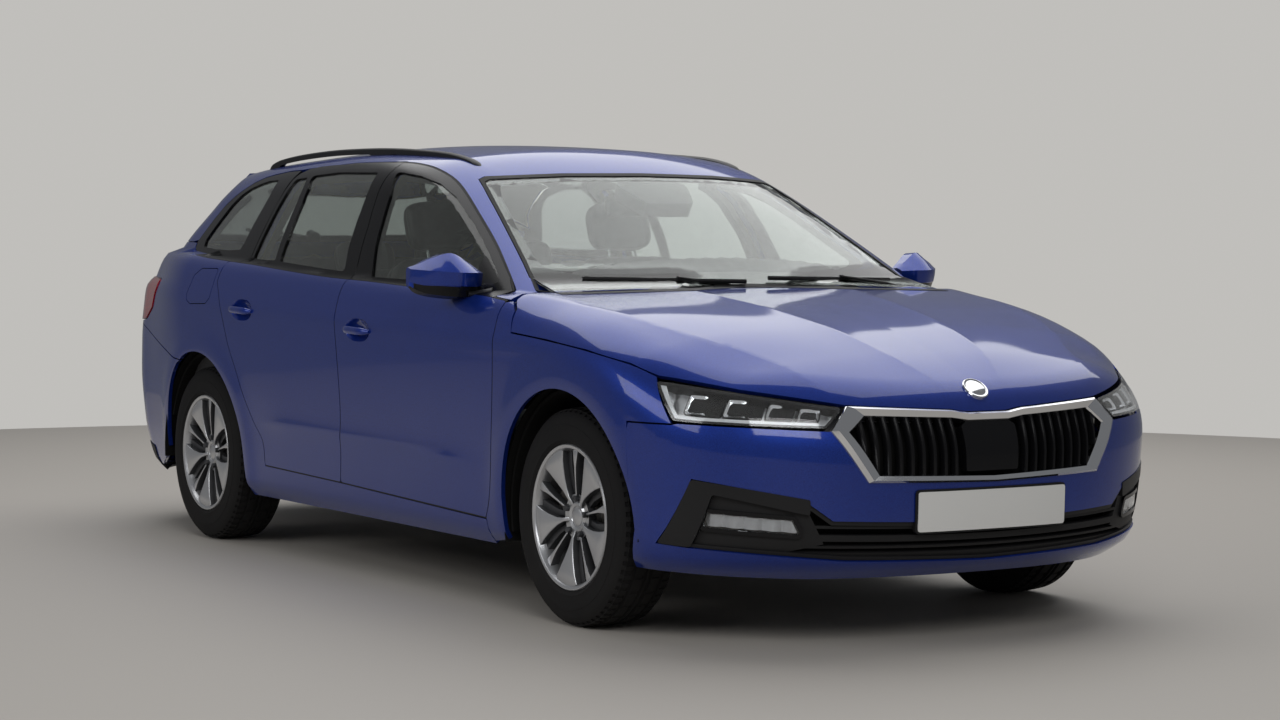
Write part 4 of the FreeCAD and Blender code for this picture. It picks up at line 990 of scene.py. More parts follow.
class WAGON_OT_front(Operator):
    """Bonnet and front bumper"""
    bl_idname = "wagon.front"
    bl_label = "Bonnet and front bumper"

    def execute(self, context):
        edge = [(x, z + GAP) for x, z in WING_TOP]
        corner = [(1.113, 0.949), (1.156, 0.922)]
        side = laid(corner + edge[:-1] + [(1.886, 0.757)], SIDE, HOOD, 0.05, False)
        lip = laid(mm((-684, 723), (-446, 683), (-125, 666), (-70, 658), (0, 658)), SCREEN, HOOD,
            0.04, False)
        rear = [HOOD.flat((1.099, -0.79, deck_height(1.099, 0.79))), (1.104, -0.66),
            (1.135, -0.57), (1.15, -0.45), (1.15, -0.3), (1.14, 0.0)]
        half = side + lip
        full = half + [(x, -v) for x, v in reversed(half[:-1])]
        full += [(x, -v) for x, v in rear[:-1]] + rear[::-1]
        ridges = []
        for across, _, _ in CREASES:
            for sign in (-1.0, 1.0):
                ridges.append([HOOD.flat((x, sign * across(x), deck_height(x, across(x)))) for x
                    in (1.16 + 0.045 * i for i in range(25))])
        panel("bonnet_skin", full, HOOD, "blue_paint", "bonnet", hands=CENTRE, replaces=["bonnet"],
            pitch=0.018, seams=ridges)
        low = 0.195
        arch = [p for p in arch_run(FRONT_X, 0, 180, count=36) if p[0] > 1.78 and p[1] < 0.625]
        arch = laid(sorted(arch, key=lambda p: -p[1]), SIDE, NOSE_END, 0.1, False)
        top = laid([(1.975, 0.624), (1.83, 0.624)], SIDE, NOSE_END, 0.05, False)
        lamp = laid([(-0.512, 0.612), (-0.835, 0.628)], SCREEN, NOSE_END, 0.04, False)
        under = [(-1.05, 0.21), (-0.55, low), (0.0, low)]
        half = laid(mm((0, 470), (-400, 480), (-495, 613)), SCREEN, NOSE_END, 0.04, False)
        half += lamp + top + arch + under
        full = half + [(-u, v) for u, v in reversed(half[:-1])]
        mouth = laid(both_halves(MOUTH), SCREEN, NOSE_END, 0.05)
        panel("front_bumper_skin", full, NOSE_END, "blue_paint", holes=[mouth], hands=CENTRE,
            replaces=["front_bumper"])
        return {"FINISHED"}


class WAGON_OT_tail(Operator):
    """Tailgate and rear bumper"""
    bl_idname = "wagon.tail"
    bl_label = "Tailgate and rear bumper"

    def execute(self, context):
        gate = both_halves([(0.0, 0.618)] + TAILGATE + [(-0.5, 1.378), (0.0, 1.392)])
        pane = both_halves(BACK_PANE)
        panel("tailgate_skin", gate, BACK, "blue_paint", "tailgate", holes=[pane], hands=CENTRE,
            replaces=["tailgate"])
        arch = [p for p in arch_run(REAR_X, 180, 0, count=36) if p[0] < -1.39 and p[1] < 0.66]
        arch = laid(sorted(arch, key=lambda p: p[1]), SIDE, TAIL_END, 0.1, False)
        top = laid(mm((-1390, 660), (-1450, 665), (-2005, 786), (-2120, 792)), SIDE, TAIL_END,
            0.05, False)
        gate_side = laid(mm((-693, 793), (-683, 700), (-635, 622), (-560, 613), (0, 613)), BACK,
            TAIL_END, 0.05, False)
        half = mm((0, 215), (-750, 215), (-980, 232), (-1080, 262))
        half += arch + top + gate_side
        full = half + [(-u, v) for u, v in reversed(half[1:-1])]
        panel("rear_bumper_skin", full, TAIL_END, "blue_paint", hands=CENTRE,
            replaces=["rear_bumper"])
        return {"FINISHED"}


# ---- glass
class WAGON_OT_glass(Operator):
    """Windscreen, side panes, quarter panes and rear window"""
    bl_idname = "wagon.glass"
    bl_label = "Glass"

    def execute(self, context):
        for name, outline, finish, body, replaced in (("front_door_pane", FRONT_PANE, "side_glass",
                "front_door_{hand}", ["front_door_glass_{hand}"]), ("rear_door_pane", REAR_PANE,
                "side_glass", "rear_door_{hand}", ["rear_door_glass_{hand}"]),
                ("rear_door_fixed_pane", FIXED_PANE, "side_glass", "rear_door_{hand}", []),
                ("quarter_pane", QUARTER_PANE, "rear_glass", "root", [])):
            panel(name, grown(rounded(outline, 0.018), 0.004), SIDE, finish, body,
                skin=0.004, lift=-0.005, pitch=0.04, edge=0,
                replaces=replaced)
        panel("windscreen_pane", both_halves(WINDSCREEN), SCREEN, "screen_glass",
            skin=0.005, lift=-0.001, pitch=0.05, edge=0, hands=CENTRE,
            replaces=["fixed_glass"])
        panel("rear_window_pane", grown(both_halves(BACK_PANE), 0.004), BACK, "rear_glass",
            "tailgate", skin=0.004, lift=-0.005, pitch=0.05, edge=0,
            hands=CENTRE, replaces=["tailgate_glass"])
        return {"FINISHED"}


# ---- small shapes
def ring_verts(bm, points):
    """A closed loop of edges through points."""
    verts = [bm.verts.new(p) for p in points]
    return [bm.edges.new((a, b)) for a, b in zip(verts, verts[1:] + verts[:1])]


def loft(rings, closed=False, bm=None):
    """A skin over rings of points, with capped ends unless it closes on itself."""
    bm = bm or bmesh.new()
    loops = [ring_verts(bm, ring) for ring in rings]
    pairs = list(zip(loops, loops[1:] + loops[:1])) if closed else list(zip(loops, loops[1:]))
    made = []
    for a, b in pairs:
        made += bmesh.ops.bridge_loops(bm, edges=a + b)["faces"]
    if not closed:
        for loop in (loops[0], loops[-1]):
            made += bmesh.ops.contextual_create(bm, geom=loop)["faces"]
    bmesh.ops.recalc_face_normals(bm, faces=made)
    return bm


def sweep(path, width, height, sides=8, up=UP, taper=0.0, bm=None):
    """A bar of oval section along a path; width is across, height is along `up`."""
    path = [Vector(p) for p in path]
    rings = []
    for i, point in enumerate(path):
        ahead = (path[min(i + 1, len(path) - 1)] - path[max(i - 1, 0)]).normalized()
        across = ahead.cross(up).normalized()
        over = across.cross(ahead)
        share = 1.0 - taper * (1.0 - min(i, len(path) - 1 - i) * 2.0 / (len(path) - 1))
        rings.append([point + across * (width / 2 * share * cos(tau * k / sides)) + over
            * (height / 2 * share * sin(tau * k / sides)) for k in range(sides)])
    return loft(rings, bm=bm)


def block(low, high, bevel=0.004, segments=2, bm=None):
    """A box with rounded edges."""
    bm = bm or bmesh.new()
    size = Vector(high) - Vector(low)
    place = Matrix.Translation((Vector(high) + Vector(low)) / 2) @ Matrix.Diagonal((*size, 1.0))
    made = bmesh.ops.create_cube(bm, size=1.0, matrix=place)["verts"]
    edges = list({e for v in made for e in v.link_edges})
    bmesh.ops.bevel(bm, geom=edges, offset=min(bevel, min(size) * 0.45), segments=segments,
        profile=0.5, affect="EDGES", material=-1)
    return bm


def turned(profile, steps=48, bm=None):
    """A profile of (radius, y) turned about the y axis."""
    bm = bm or bmesh.new()
    verts = [bm.verts.new((r, y, 0.0)) for r, y in profile]
    edges = [bm.edges.new(pair) for pair in zip(verts, verts[1:])]
    bmesh.ops.spin(bm, geom=verts + edges, cent=(0, 0, 0), axis=(0, 1, 0), angle=tau, steps=steps,
        use_merge=True)
    bmesh.ops.remove_doubles(bm, verts=bm.verts, dist=1e-6)
    bmesh.ops.recalc_face_normals(bm, faces=bm.faces)
    return bm


def plate_of(outline, depth, bevel=0.0015, bm=None):
    """A flat plate in (x, z) with its front at y = 0, going back to y = depth."""
    own = bmesh.new()
    face = own.faces.new([own.verts.new((x, 0.0, z)) for x, z in outline])
    face.normal_update()
    if face.normal.y > 0:
        face.normal_flip()
    extruded = bmesh.ops.extrude_face_region(own, geom=[face])["geom"]
    back = [v for v in extruded if isinstance(v, bmesh.types.BMVert)]
    bmesh.ops.translate(own, vec=(0, depth, 0), verts=back)
    bmesh.ops.recalc_face_normals(own, faces=own.faces)
    if bevel:
        rim = [e for e in own.edges if all(abs(v.co.y) < 1e-6 for v in e.verts)]
        bmesh.ops.bevel(own, geom=rim, offset=bevel, segments=2, profile=0.5, affect="EDGES",
            material=-1)
    if bm is None:
        return own
    add_mesh(bm, own)
    return bm


def facing(bm, place, normal, up=UP):
    """Turn a shape built facing -y so that it faces along a normal at a place."""
    y_axis = -Vector(normal).normalized()
    x_axis = y_axis.cross(up).normalized()
    z_axis = x_axis.cross(y_axis)
    turn = Matrix((x_axis, y_axis, z_axis)).transposed().to_4x4()
    bmesh.ops.transform(bm, matrix=Matrix.Translation(place) @ turn, verts=bm.verts)
    return bm


def both_sides(name, bm, finish, body="root", replaces=(), angle=35.0):
    """A piece built on the right, and its mirror image on the left."""
    for hand, sign in HANDS:
        half = mirror_copy(bm) if sign > 0 else bm.copy()
        new_piece(f"{name}_{hand}", half, finish, body.format(hand=hand),
            [node.format(hand=hand) for node in replaces], angle)
    bm.free()


def on_nose(points, step=0.04):
    """An outline drawn from the front, carried round the nose."""
    return laid(points, SCREEN, NOSE_END, step)


def edge_distance(outline, u, v):
    """How far a flat point is from an outline."""
    best = 1.0
    for a, b in zip(outline, outline[1:] + outline[:1]):
        du, dv = b[0] - a[0], b[1] - a[1]
        t = min(max(((u - a[0]) * du + (v - a[1]) * dv) / (du * du + dv * dv), 0.0), 1.0)
        best = min(best, hypot(u - a[0] - du * t, v - a[1] - dv * t))
    return best


# ---- nose details
HEADLAMP = mm((-458, 675), (-722, 713), (-930, 740), (-958, 742), (-889, 637), (-835, 633),
    (-503, 621))
FOG_LAMP = mm((-601, 369), (-795, 386), (-785, 343), (-581, 327))
CORNER_TRIM = mm((-560, 425), (-585, 430), (-812, 476), (-848, 292), (-802, 287), (-774, 437),
    (-600, 392), (-560, 383))
NUMBER_PLATE = mm((-260, 330), (260, 330), (260, 441), (-260, 441))


class WAGON_OT_lamps(Operator):
    """Headlamps with their modules and day strips, and the fog lamps"""
    bl_idname = "wagon.lamps"
    bl_label = "Front lamps"

    def execute(self, context):
        outline = rounded(HEADLAMP, 0.01)
        panel("headlamp_lens", outline, NOSE_END, "lamp_glass", skin=0.003, pitch=0.03, edge=0.004,
            replaces=["headlamps"])
        panel("headlamp_wall", outline, NOSE_END, "black_gloss", holes=[grown(outline, -0.007)],
            skin=0.04, lift=-0.004, edge=0)
        panel("headlamp_back", grown(outline, -0.001), NOSE_END, "lamp_inside",
            skin=0.004, lift=-0.04, edge=0, rise=lambda u, v: 0.006 * sin(u * 160.0))
        strip = mm((-945, 736), (-928, 734), (-882, 655), (-832, 650), (-520, 637), (-510, 626),
            (-835, 638), (-887, 642))
        panel("headlamp_day_strip", strip, NOSE_END, "white_lens", skin=0.008,
            lift=-0.007, edge=0)
        modules = []
        for left, right, low, high in mm((-868, -775, 661, 712), (-764, -668, 656, 702),
                (-656, -588, 651, 690), (-576, -520, 646, 678)):
            modules.append(rounded([(left, low), (right, low), (right + 0.006, high),
                (left + 0.01, high + 0.004)], 0.008))
        panel("headlamp_modules", modules, NOSE_END, "satin_chrome", skin=0.02,
            lift=-0.018, pitch=0.012, edge=0.003, rise=lambda u, v: -0.01
            * min(edge_distance(min(modules, key=lambda m: abs(m[0][0] - u)), u, v) / 0.012, 1.0))
        rims = [grown(module, 0.004) for module in modules]
        panel("headlamp_module_frames", rims, NOSE_END, "black_gloss", skin=0.018, lift=-0.023,
            edge=0)
        fog = on_nose(rounded(FOG_LAMP, 0.008), 0.02)
        panel("fog_lamp_lens", fog, NOSE_END, "lamp_glass", skin=0.003, lift=-0.008, pitch=0.03,
            edge=0.003)
        panel("fog_lamp_reflector", grown(fog, -0.004), NOSE_END, "lamp_inside",
            skin=0.006, lift=-0.024, pitch=0.008, edge=0, rise=lambda u, v: 0.011
            * abs(sin(u * 62.0)), angle=20.0)
        panel("fog_lamp_bezel", grown(fog, 0.011), NOSE_END, "black_gloss", holes=[fog],
            skin=0.024, lift=-0.004, edge=0.003)
        return {"FINISHED"}


class WAGON_OT_grille(Operator):
    """Chrome grille frame, its slats and sensor panel, and the badge place left bare"""
    bl_idname = "wagon.grille"
    bl_label = "Grille"

    def execute(self, context):
        frame_line = on_nose(both_halves(GRILLE), 0.03)
        mouth = on_nose(both_halves(GRILLE_MOUTH), 0.03)
        rings = []
        corners = list(zip(both_halves(GRILLE), both_halves(GRILLE_MOUTH)))
        for (a, b), (c, d) in zip(corners, corners[1:] + corners[:1]):
            count = max(2, ceil(dist(a, c) / 0.03))
            for i in range(count):
                outer = Vector(a).lerp(Vector(c), i / count)
                inner = Vector(b).lerp(Vector(d), i / count)
                ring = []
                for share, height in ((0.0, -0.018), (0.0, 0.002), (0.05, 0.006), (0.36, 0.013),
                        (0.93, 0.001), (1.0, -0.004), (1.0, -0.03)):
                    spot = SCREEN.place(*outer.lerp(inner, share))
                    ring.append(spot + body_normal(spot) * height)
                rings.append(ring)
        new_piece("grille_frame", loft(rings, closed=True), "chrome",
            angle=20.0)
        panel("grille_surround", grown(frame_line, 0.012), NOSE_END, "black_gloss",
            holes=[grown(frame_line, -0.004)], skin=0.012, lift=-0.009, hands=CENTRE)
        panel("grille_back", grown(mouth, 0.006), NOSE_END, "liner_plastic",
            skin=0.004, lift=-0.05, edge=0, hands=CENTRE, replaces=["grille"])
        half = both_halves(GRILLE_MOUTH)
        bars = bmesh.new()
        count = sizes().slats
        for i in range(count):
            y = -0.124 - 0.285 * i / (count - 1)
            top = max(z / 1000.0 for z in range(480, 660) if within(half, y, z / 1000.0))
            low = min(z / 1000.0 for z in range(470, 600) if within(half, y, z / 1000.0))
            path = []
            for k in range(7):
                z = low + (top - low) * k / 6
                spot = SCREEN.place(y - 0.004 * k / 6, z)
                path.append(spot - Vector((0.022, 0, 0)))
            sweep(path, 0.0165, 0.034, sides=10, up=AHEAD, bm=bars)
        both_sides("grille_slats", bars, "black_gloss")
        sensor = on_nose(rounded(mm((-92, 492), (92, 492), (96, 622), (76, 634), (-76, 634),
            (-96, 622)), 0.008), 0.02)
        panel("sensor_cover", sensor, NOSE_END, "black_gloss", skin=0.03, lift=-0.008,
            hands=CENTRE)
        spot = SCREEN.place(0.0, 0.716)
        badge = turned(mm((0, -6.5), (20, -6.2), (31, -4.8), (33.5, -6.2), (37.5, -6.2),
            (40, -3.5), (40.5, 4), (0, 4)), 64)
        facing(badge, spot, body_normal(spot))
        new_piece("badge_place", badge, "chrome", "bonnet")
        return {"FINISHED"}


class WAGON_OT_lower_front(Operator):
    """Lower intake with its bars, corner trims and the blank number plate"""
    bl_idname = "wagon.lower_front"
    bl_label = "Lower front"

    def execute(self, context):
        mouth = on_nose(both_halves(MOUTH), 0.05)
        fog = on_nose(rounded(FOG_LAMP, 0.008), 0.02)
        panel("intake_back", grown(mouth, 0.006), NOSE_END, "liner_plastic",
            skin=0.004, lift=-0.055, edge=0, hands=CENTRE)
        pods = on_nose(mm((-560, 384), (-775, 440), (-803, 290), (-620, 272), (-520, 300)), 0.03)
        panel("fog_pod", pods, NOSE_END, "black_plastic", holes=[grown(fog, 0.008)], skin=0.03,
            lift=-0.012)
        panel("corner_trim", on_nose(rounded(CORNER_TRIM, 0.006), 0.03), NOSE_END, "black_satin",
            skin=0.03, lift=0.003, pitch=0.014)
        for i, (low, high, outer) in enumerate(mm((243, 262, 620), (276, 284, 600),
                (298, 316, 575), (334, 342, 545))):
            rise_z = 0.02 * outer
            bar = flow([(-outer, high + rise_z), (0.0, high), (outer, high + rise_z)], 8)
            bar += flow([(outer, low + rise_z), (0.0, low), (-outer, low + rise_z)], 8)
            panel(f"intake_bar_{i + 1}", bar, NOSE_END, "black_plastic", skin=0.024, lift=-0.012,
                hands=CENTRE)
        panel("intake_edge", grown(mouth, -0.001), NOSE_END, "black_satin",
            holes=[grown(mouth, -0.012)], skin=0.03, lift=-0.006, hands=CENTRE)
        plate = rounded(NUMBER_PLATE, 0.008)
        panel("front_plate_holder", grown(plate, 0.006), SCREEN, "black_plastic", skin=0.016,
            lift=0.006, hands=CENTRE)
        panel("front_plate", plate, SCREEN, "plate_white", skin=0.003,
            lift=0.0105, hands=CENTRE)
        return {"FINISHED"}


# ---- fittings
HANDLES = (("front_door", 0.149, 0.826), ("rear_door", -0.792, 0.866))


def handle_dish(x, z):
    """A rounded opening behind a handle."""
    points = []
    for i in range(40):
        c, s = cos(tau * i / 40), sin(tau * i / 40)
        points.append((x + 0.088 * copysign(abs(c) ** 0.8, c),
            z + 0.038 * copysign(abs(s) ** 0.8, s)))
    return points


class WAGON_OT_handles(Operator):
    """Strap handles over their dishes in the doors"""
    bl_idname = "wagon.handles"
    bl_label = "Door handles"

    def execute(self, context):
        for door, x, z in HANDLES:
            def cup(u, v, x=x, z=z):
                away = hypot((u - x) / 0.092, (v - z) / 0.04)
                return -0.02 * (1.0 - min(away, 1.0) ** 2.5)
            panel(f"{door}_handle_dish", handle_dish(x, z), SIDE, "blue_paint", door + "_{hand}",
                skin=0.024, pitch=0.007, edge=0.002, rise=cup)
            bm = bmesh.new()
            rings = []
            for i in range(15):
                along = -1.0 + i / 7.0
                spot = SIDE.place(x - 0.092 * along, z + 0.003 * along)
                normal = body_normal(spot)
                over = 0.02 * (1.0 - along ** 4) + 0.001
                tall = 0.0125 * (1.0 - 0.55 * abs(along) ** 5)
                ring = []
                for k in range(12):
                    turn = tau * k / 12
                    ring.append(spot + normal * (over + 0.0075 * cos(turn) - 0.002)
                        + Vector((0, 0, tall * sin(turn))))
                rings.append(ring)
            loft(rings, bm=bm)
            both_sides(f"{door}_handle", bm, "blue_paint", door + "_{hand}")
        return {"FINISHED"}


# A roof rail's distance from the middle, and its upper edge as x and z.
RAIL_Y = -0.515
RAIL = mm((-1412, 1388), (-1375, 1403), (-1300, 1418), (-1154, 1431), (-980, 1440), (-810, 1445),
    (-644, 1446), (-483, 1445), (-327, 1441), (-174, 1434), (-25, 1425), (84, 1415), (185, 1399),
    (240, 1384), (272, 1368))

# Mirror sections. Columns: y, rear, middle and front x, top, crease, split and bottom z.
MIRROR = mm((-812, 765, 800, 828, 1034, 1024, 984, 951),
    (-848, 750, 798, 858, 1057, 1026, 983, 944), (-900, 728, 786, 862, 1086, 1027, 985, 943),
    (-950, 710, 756, 833, 1071, 1030, 988, 948), (-986, 696, 726, 780, 1052, 1033, 990, 958),
    (-1008, 689, 700, 722, 1041, 1036, 999, 980))


class WAGON_OT_mirrors(Operator):
    """Door mirrors: painted cap, black lower half, glass, foot and corner plate"""
    bl_idname = "wagon.mirrors"
    bl_label = "Door mirrors"

    def execute(self, context):
        rings = []
        for y, rear, mid, front, top, crease, split, low in flow(MIRROR, 5):
            rings.append([(x, y, z) for x, z in ((rear, top - 0.01), (rear + 0.004, top - 0.003),
                (mid, top), (mid * 0.45 + front * 0.55, top * 0.55 + crease * 0.45),
                (front, crease), (front - 0.003, (crease + split) / 2), (front - 0.01, split),
                (front - 0.014, split - 0.003), (mid * 0.4 + front * 0.6, low * 0.8 + split * 0.2),
                (mid, low), (rear + 0.006, low + 0.003), (rear, low + 0.01))])
        bm = loft(rings)
        bm.normal_update()
        rear_faces = [f for f in bm.faces if f.normal.x < -0.9 and f.calc_area() > 2e-4]
        inner = bmesh.ops.inset_region(bm, faces=rear_faces, thickness=0.007, depth=-0.004)
        for face in bm.faces:
            if face.calc_center_median().z < 0.9835 or face in rear_faces:
                face.material_index = 1
        for face in inner["faces"]:
            face.material_index = 1
        for face in rear_faces:
            face.material_index = 2
        both_sides("mirror_head", bm, ["blue_paint", "black_gloss", "mirror_silver"],
            "front_door_{hand}", replaces=["door_mirror_{hand}"], angle=22.0)
        foot = sweep(mm((815, -860, 960), (825, -835, 959), (845, -812, 963), (862, -790, 970)),
            0.085, 0.024, sides=14)
        both_sides("mirror_foot", foot, "black_satin", "front_door_{hand}")
        corner = rounded(mm((728, 1082), (758, 980), (918, 980)), 0.006)
        panel("mirror_corner", corner, SIDE, "black_satin", "front_door_{hand}",
            skin=0.008, lift=-0.002)
        return {"FINISHED"}


class WAGON_OT_roof_parts(Operator):
    """Roof rails on their feet, and the aerial fin"""
    bl_idname = "wagon.roof_parts"
    bl_label = "Roof rails and aerial"

    def execute(self, context):
        y = RAIL_Y
        line = flow(RAIL, 5)
        rings = []
        for i, (x, top) in enumerate(line):
            end = min(i, len(line) - 1 - i) / 5.0
            base = TOP.place(x, TOP.flat((x, y, top))[1]).z
            low = base - 0.006 if end < 2.0 or abs(x + 0.45) < 0.09 else top - 0.019
            wide = 0.006 + 0.008 * min(end, 1.0)
            slope = 0.25 * wide
            rings.append([(x, y + wide * a, z) for a, z in ((-0.9, low - slope),
                (-1.0, low + 0.003), (-1.0, top - 0.006), (-0.75, top - 0.002), (-0.3, top),
                (0.3, top), (0.75, top - 0.002), (1.0, top - 0.005), (1.0, low + 0.005),
                (0.9, low + slope))])
        both_sides("roof_rail", loft(rings), "black_satin", replaces=["roof_rails"])
        rings = []
        for along, wide, tall in mm((0, 6, 1), (20, 24, 12), (70, 32, 30), (120, 28, 48),
                (150, 14, 52), (162, 4, 46)):
            x = -1.42 - along
            base = TOP.place(x, 0.0).z - 0.003
            rings.append([(x, wide / 2 * w, base + tall * t) for w, t in ((-1, 0), (-0.75, 0.4),
                (-0.35, 0.85), (0, 1), (0.35, 0.85), (0.75, 0.4), (1, 0))])
        new_piece("aerial_fin", loft(rings), "black_gloss")
        return {"FINISHED"}


class WAGON_OT_screen_parts(Operator):
    """Windscreen border, sensor housing, scuttle, wipers and seals"""
    bl_idname = "wagon.screen_parts"
    bl_label = "Windscreen parts"

    def execute(self, context):
        outline = both_halves(WINDSCREEN)
        inner = rounded(both_halves(mm((0, 1032), (-560, 1024), (-648, 1046), (-615, 1156),
            (-565, 1268), (-535, 1306), (-300, 1322), (0, 1326))), 0.03)
        panel("screen_border", grown(outline, -0.001), SCREEN, "black_gloss", holes=[inner],
            skin=0.002, lift=-0.0065, pitch=0.04, edge=0, hands=CENTRE)
        panel("screen_seal", grown(outline, 0.0035), SCREEN, "black_plastic",
            holes=[grown(outline, -0.006)], skin=0.01, lift=0.0012, pitch=0.04, hands=CENTRE)
        housing = rounded(mm((-150, 1324), (150, 1324), (92, 1252), (-92, 1252)), 0.02)
        panel("sensor_housing", housing, SCREEN, "cabin_plastic", skin=0.05, lift=-0.008,
            hands=CENTRE)
        cowl = [(0.93, v) for v in (-0.93, -0.5, 0.0, 0.5, 0.93)]
        cowl += [(1.168, v) for v in (0.93, 0.5, 0.0, -0.5, -0.93)]
        panel("scuttle", cowl, HOOD, "black_plastic", skin=0.004, lift=-0.02, hands=CENTRE,
            rise=lambda u, v: 0.0025 * sin(v * 190.0) - 0.045 * ease((u - 1.065) / 0.045))
        for tag, pivot, tip in (("right", (0.02, 0.958), (-0.565, 1.000)),
                ("left", (0.64, 0.962), (0.085, 1.000))):
            rubber = []
            root_spot = Vector((1.105, pivot[0], 0.968))
            mid = (pivot[0] + (tip[0] - pivot[0]) * 0.48, 0.995)
            spot = SCREEN.place(*mid)
            arm = [root_spot, root_spot.lerp(spot, 0.35) + Vector((0, 0, 0.012)),
                spot + body_normal(spot) * 0.02]
            bm = sweep(arm, 0.016, 0.01, sides=8)
            hub = turned(mm((0, -12), (16, -10), (19, 4), (0, 10)), 20)
            facing(hub, root_spot, Vector((0.25, 0, 1)), up=AHEAD)
            add_mesh(bm, hub)
            for i in range(13):
                share = i / 12
                y = pivot[0] + (tip[0] - pivot[0]) * (0.06 + 0.94 * share)
                spot = SCREEN.place(y, 0.99 + 0.01 * share)
                rubber.append(spot + body_normal(spot) * 0.01)
            sweep(rubber, 0.014, 0.016, sides=6, bm=bm)
            new_piece(f"wiper_{tag}", bm, "black_satin")
        return {"FINISHED"}


# ---- tail details
class WAGON_OT_tail_parts(Operator):
    """Tail lamps, spoiler, plate recess, diffuser and rear wiper"""
    bl_idname = "wagon.tail_parts"
    bl_label = "Tail details"

    def execute(self, context):
        lens = self.lamp_line()
        panel("tail_lamp_lens", lens, TAIL_END, "red_lens", skin=0.03, lift=0.004,
            pitch=0.016, replaces=["tail_lamps"])
        gate_lamp = rounded(mm((-675, 812), (-670, 942), (-630, 940), (-430, 908), (-425, 868),
            (-560, 815)), 0.01)
        panel("tailgate_lamp_lens", gate_lamp, BACK, "red_lens", "tailgate",
            skin=0.012, lift=0.004, pitch=0.016, replaces=["tailgate_lamps"])
        clear = rounded(mm((-655, 850), (-655, 872), (-470, 882), (-470, 868)), 0.004)
        panel("reversing_lens", clear, BACK, "white_lens", "tailgate",
            skin=0.006, lift=0.0065, pitch=0.012)
        recess = rounded(mm((-300, 668), (300, 668), (320, 800), (-320, 800)), 0.02)
        panel("plate_recess", recess, BACK, "blue_paint", "tailgate",
            holes=[grown(recess, -0.014)], skin=0.012, lift=0.006, hands=CENTRE)
        panel("plate_recess_floor", grown(recess, -0.013), BACK, "black_plastic", "tailgate",
            skin=0.006, lift=0.0012, hands=CENTRE)
        plate = rounded(mm((-260, 678), (260, 678), (260, 789), (-260, 789)), 0.008)
        panel("rear_plate", plate, BACK, "plate_yellow", "tailgate",
            skin=0.003, lift=0.006, hands=CENTRE)
        grip = rounded(mm((-240, 806), (240, 806), (232, 834), (-232, 834)), 0.008)
        panel("gate_grip", grip, BACK, "satin_chrome", "tailgate", skin=0.01,
            lift=0.009, hands=CENTRE)
        low = mm((-930, 205), (-930, 300), (-600, 330), (-400, 385), (400, 385), (600, 330),
            (930, 300), (930, 205))
        panel("rear_diffuser", rounded(low, 0.02), TAIL_END, "black_plastic", skin=0.01,
            lift=0.004, hands=CENTRE)
        for index, outer in enumerate((0.3, 0.42)):
            strip = [(-outer - 0.06, 0.236), (outer + 0.06, 0.236), (outer + 0.06, 0.242),
                (-outer - 0.06, 0.242)]
            shift = 0.045 * index
            panel(f"diffuser_rib_{index + 1}", [(u, v + shift) for u, v in strip], TAIL_END,
                "satin_chrome" if index else "black_satin", skin=0.012,
                lift=0.01, hands=CENTRE)
        glow = rounded(mm((-700, 405), (-520, 400), (-520, 425), (-700, 430)), 0.006)
        panel("rear_reflector", glow, TAIL_END, "red_lens", skin=0.008,
            lift=0.003, pitch=0.012)
        seam = both_halves(BACK_PANE)
        panel("rear_window_border", grown(seam, 0.004), BACK, "black_gloss", "tailgate",
            holes=[grown(seam, -0.022)], skin=0.004, lift=0.0016, pitch=0.04, hands=CENTRE)
        rings = []
        for i in range(17):
            y = -0.475 + 0.95 * i / 16
            share = (y / 0.475) ** 2
            edge = BACK.place(y * 0.93, 1.352)
            front = edge + Vector((0.085, 0, 0.024))
            front = TOP.place(front.x, TOP.flat((front.x, y, front.z))[1])
            back_x = edge.x - 0.062 + 0.03 * share
            back_z = front.z - 0.012 - 0.01 * share
            rings.append([(front.x, y, front.z + 0.001),
                ((front.x + back_x) / 2, y, front.z + 0.002), (back_x + 0.006, y, back_z + 0.001),
                (back_x, y, back_z - 0.005), (back_x + 0.006, y, back_z - 0.013),
                ((front.x + back_x) / 2, y, back_z - 0.024), (front.x, y, front.z - 0.032)])
        new_piece("roof_spoiler", loft(rings), "blue_paint", "tailgate")
        stop = rounded(mm((-160, 1336), (160, 1336), (160, 1350), (-160, 1350)), 0.005)
        panel("high_brake_lamp", stop, BACK, "red_lens", "tailgate", skin=0.006,
            lift=0.006, hands=CENTRE)
        base = BACK.place(0.0, 1.118)
        arm_tip = BACK.place(-0.33, 1.15)
        bm = sweep([base + Vector((-0.03, 0, 0)), (base + arm_tip) / 2
            + Vector((-0.034, 0, 0.006)), arm_tip + Vector((-0.016, 0, 0))], 0.014, 0.01,
            up=Vector((-1, 0, 0.4)))
        hub = turned(mm((0, -34), (18, -32), (24, -12), (30, 4), (0, 6)), 28)
        facing(hub, base, body_normal(base))
        add_mesh(bm, hub)
        new_piece("rear_wiper", bm, "black_satin", "tailgate")
        return {"FINISHED"}

    def lamp_line(self):
        """The quarter lamp's outline round the corner of the tail."""
        front = laid(mm((-2010, 795), (-1900, 803), (-1790, 850), (-1713, 930), (-1711, 958),
            (-2100, 964)), SIDE, TAIL_END, 0.04, False)
        gate = laid(mm((-690, 948), (-697, 797)), BACK, TAIL_END, 0.05, False)
        return rounded(front + gate, 0.006)


# ---- wheels
def polar(radius, degrees):
    return (radius * sin(radians(degrees)), radius * cos(radians(degrees)))


def dish(bm):
    """Sink the middle of a wheel face and let it rise towards the rim."""
    for vert in bm.verts:
        r = hypot(vert.co.x, vert.co.z)
        vert.co.y += 0.02 - 0.016 * ease(r / 0.19) + 0.01 * ease((0.07 - r) / 0.05)


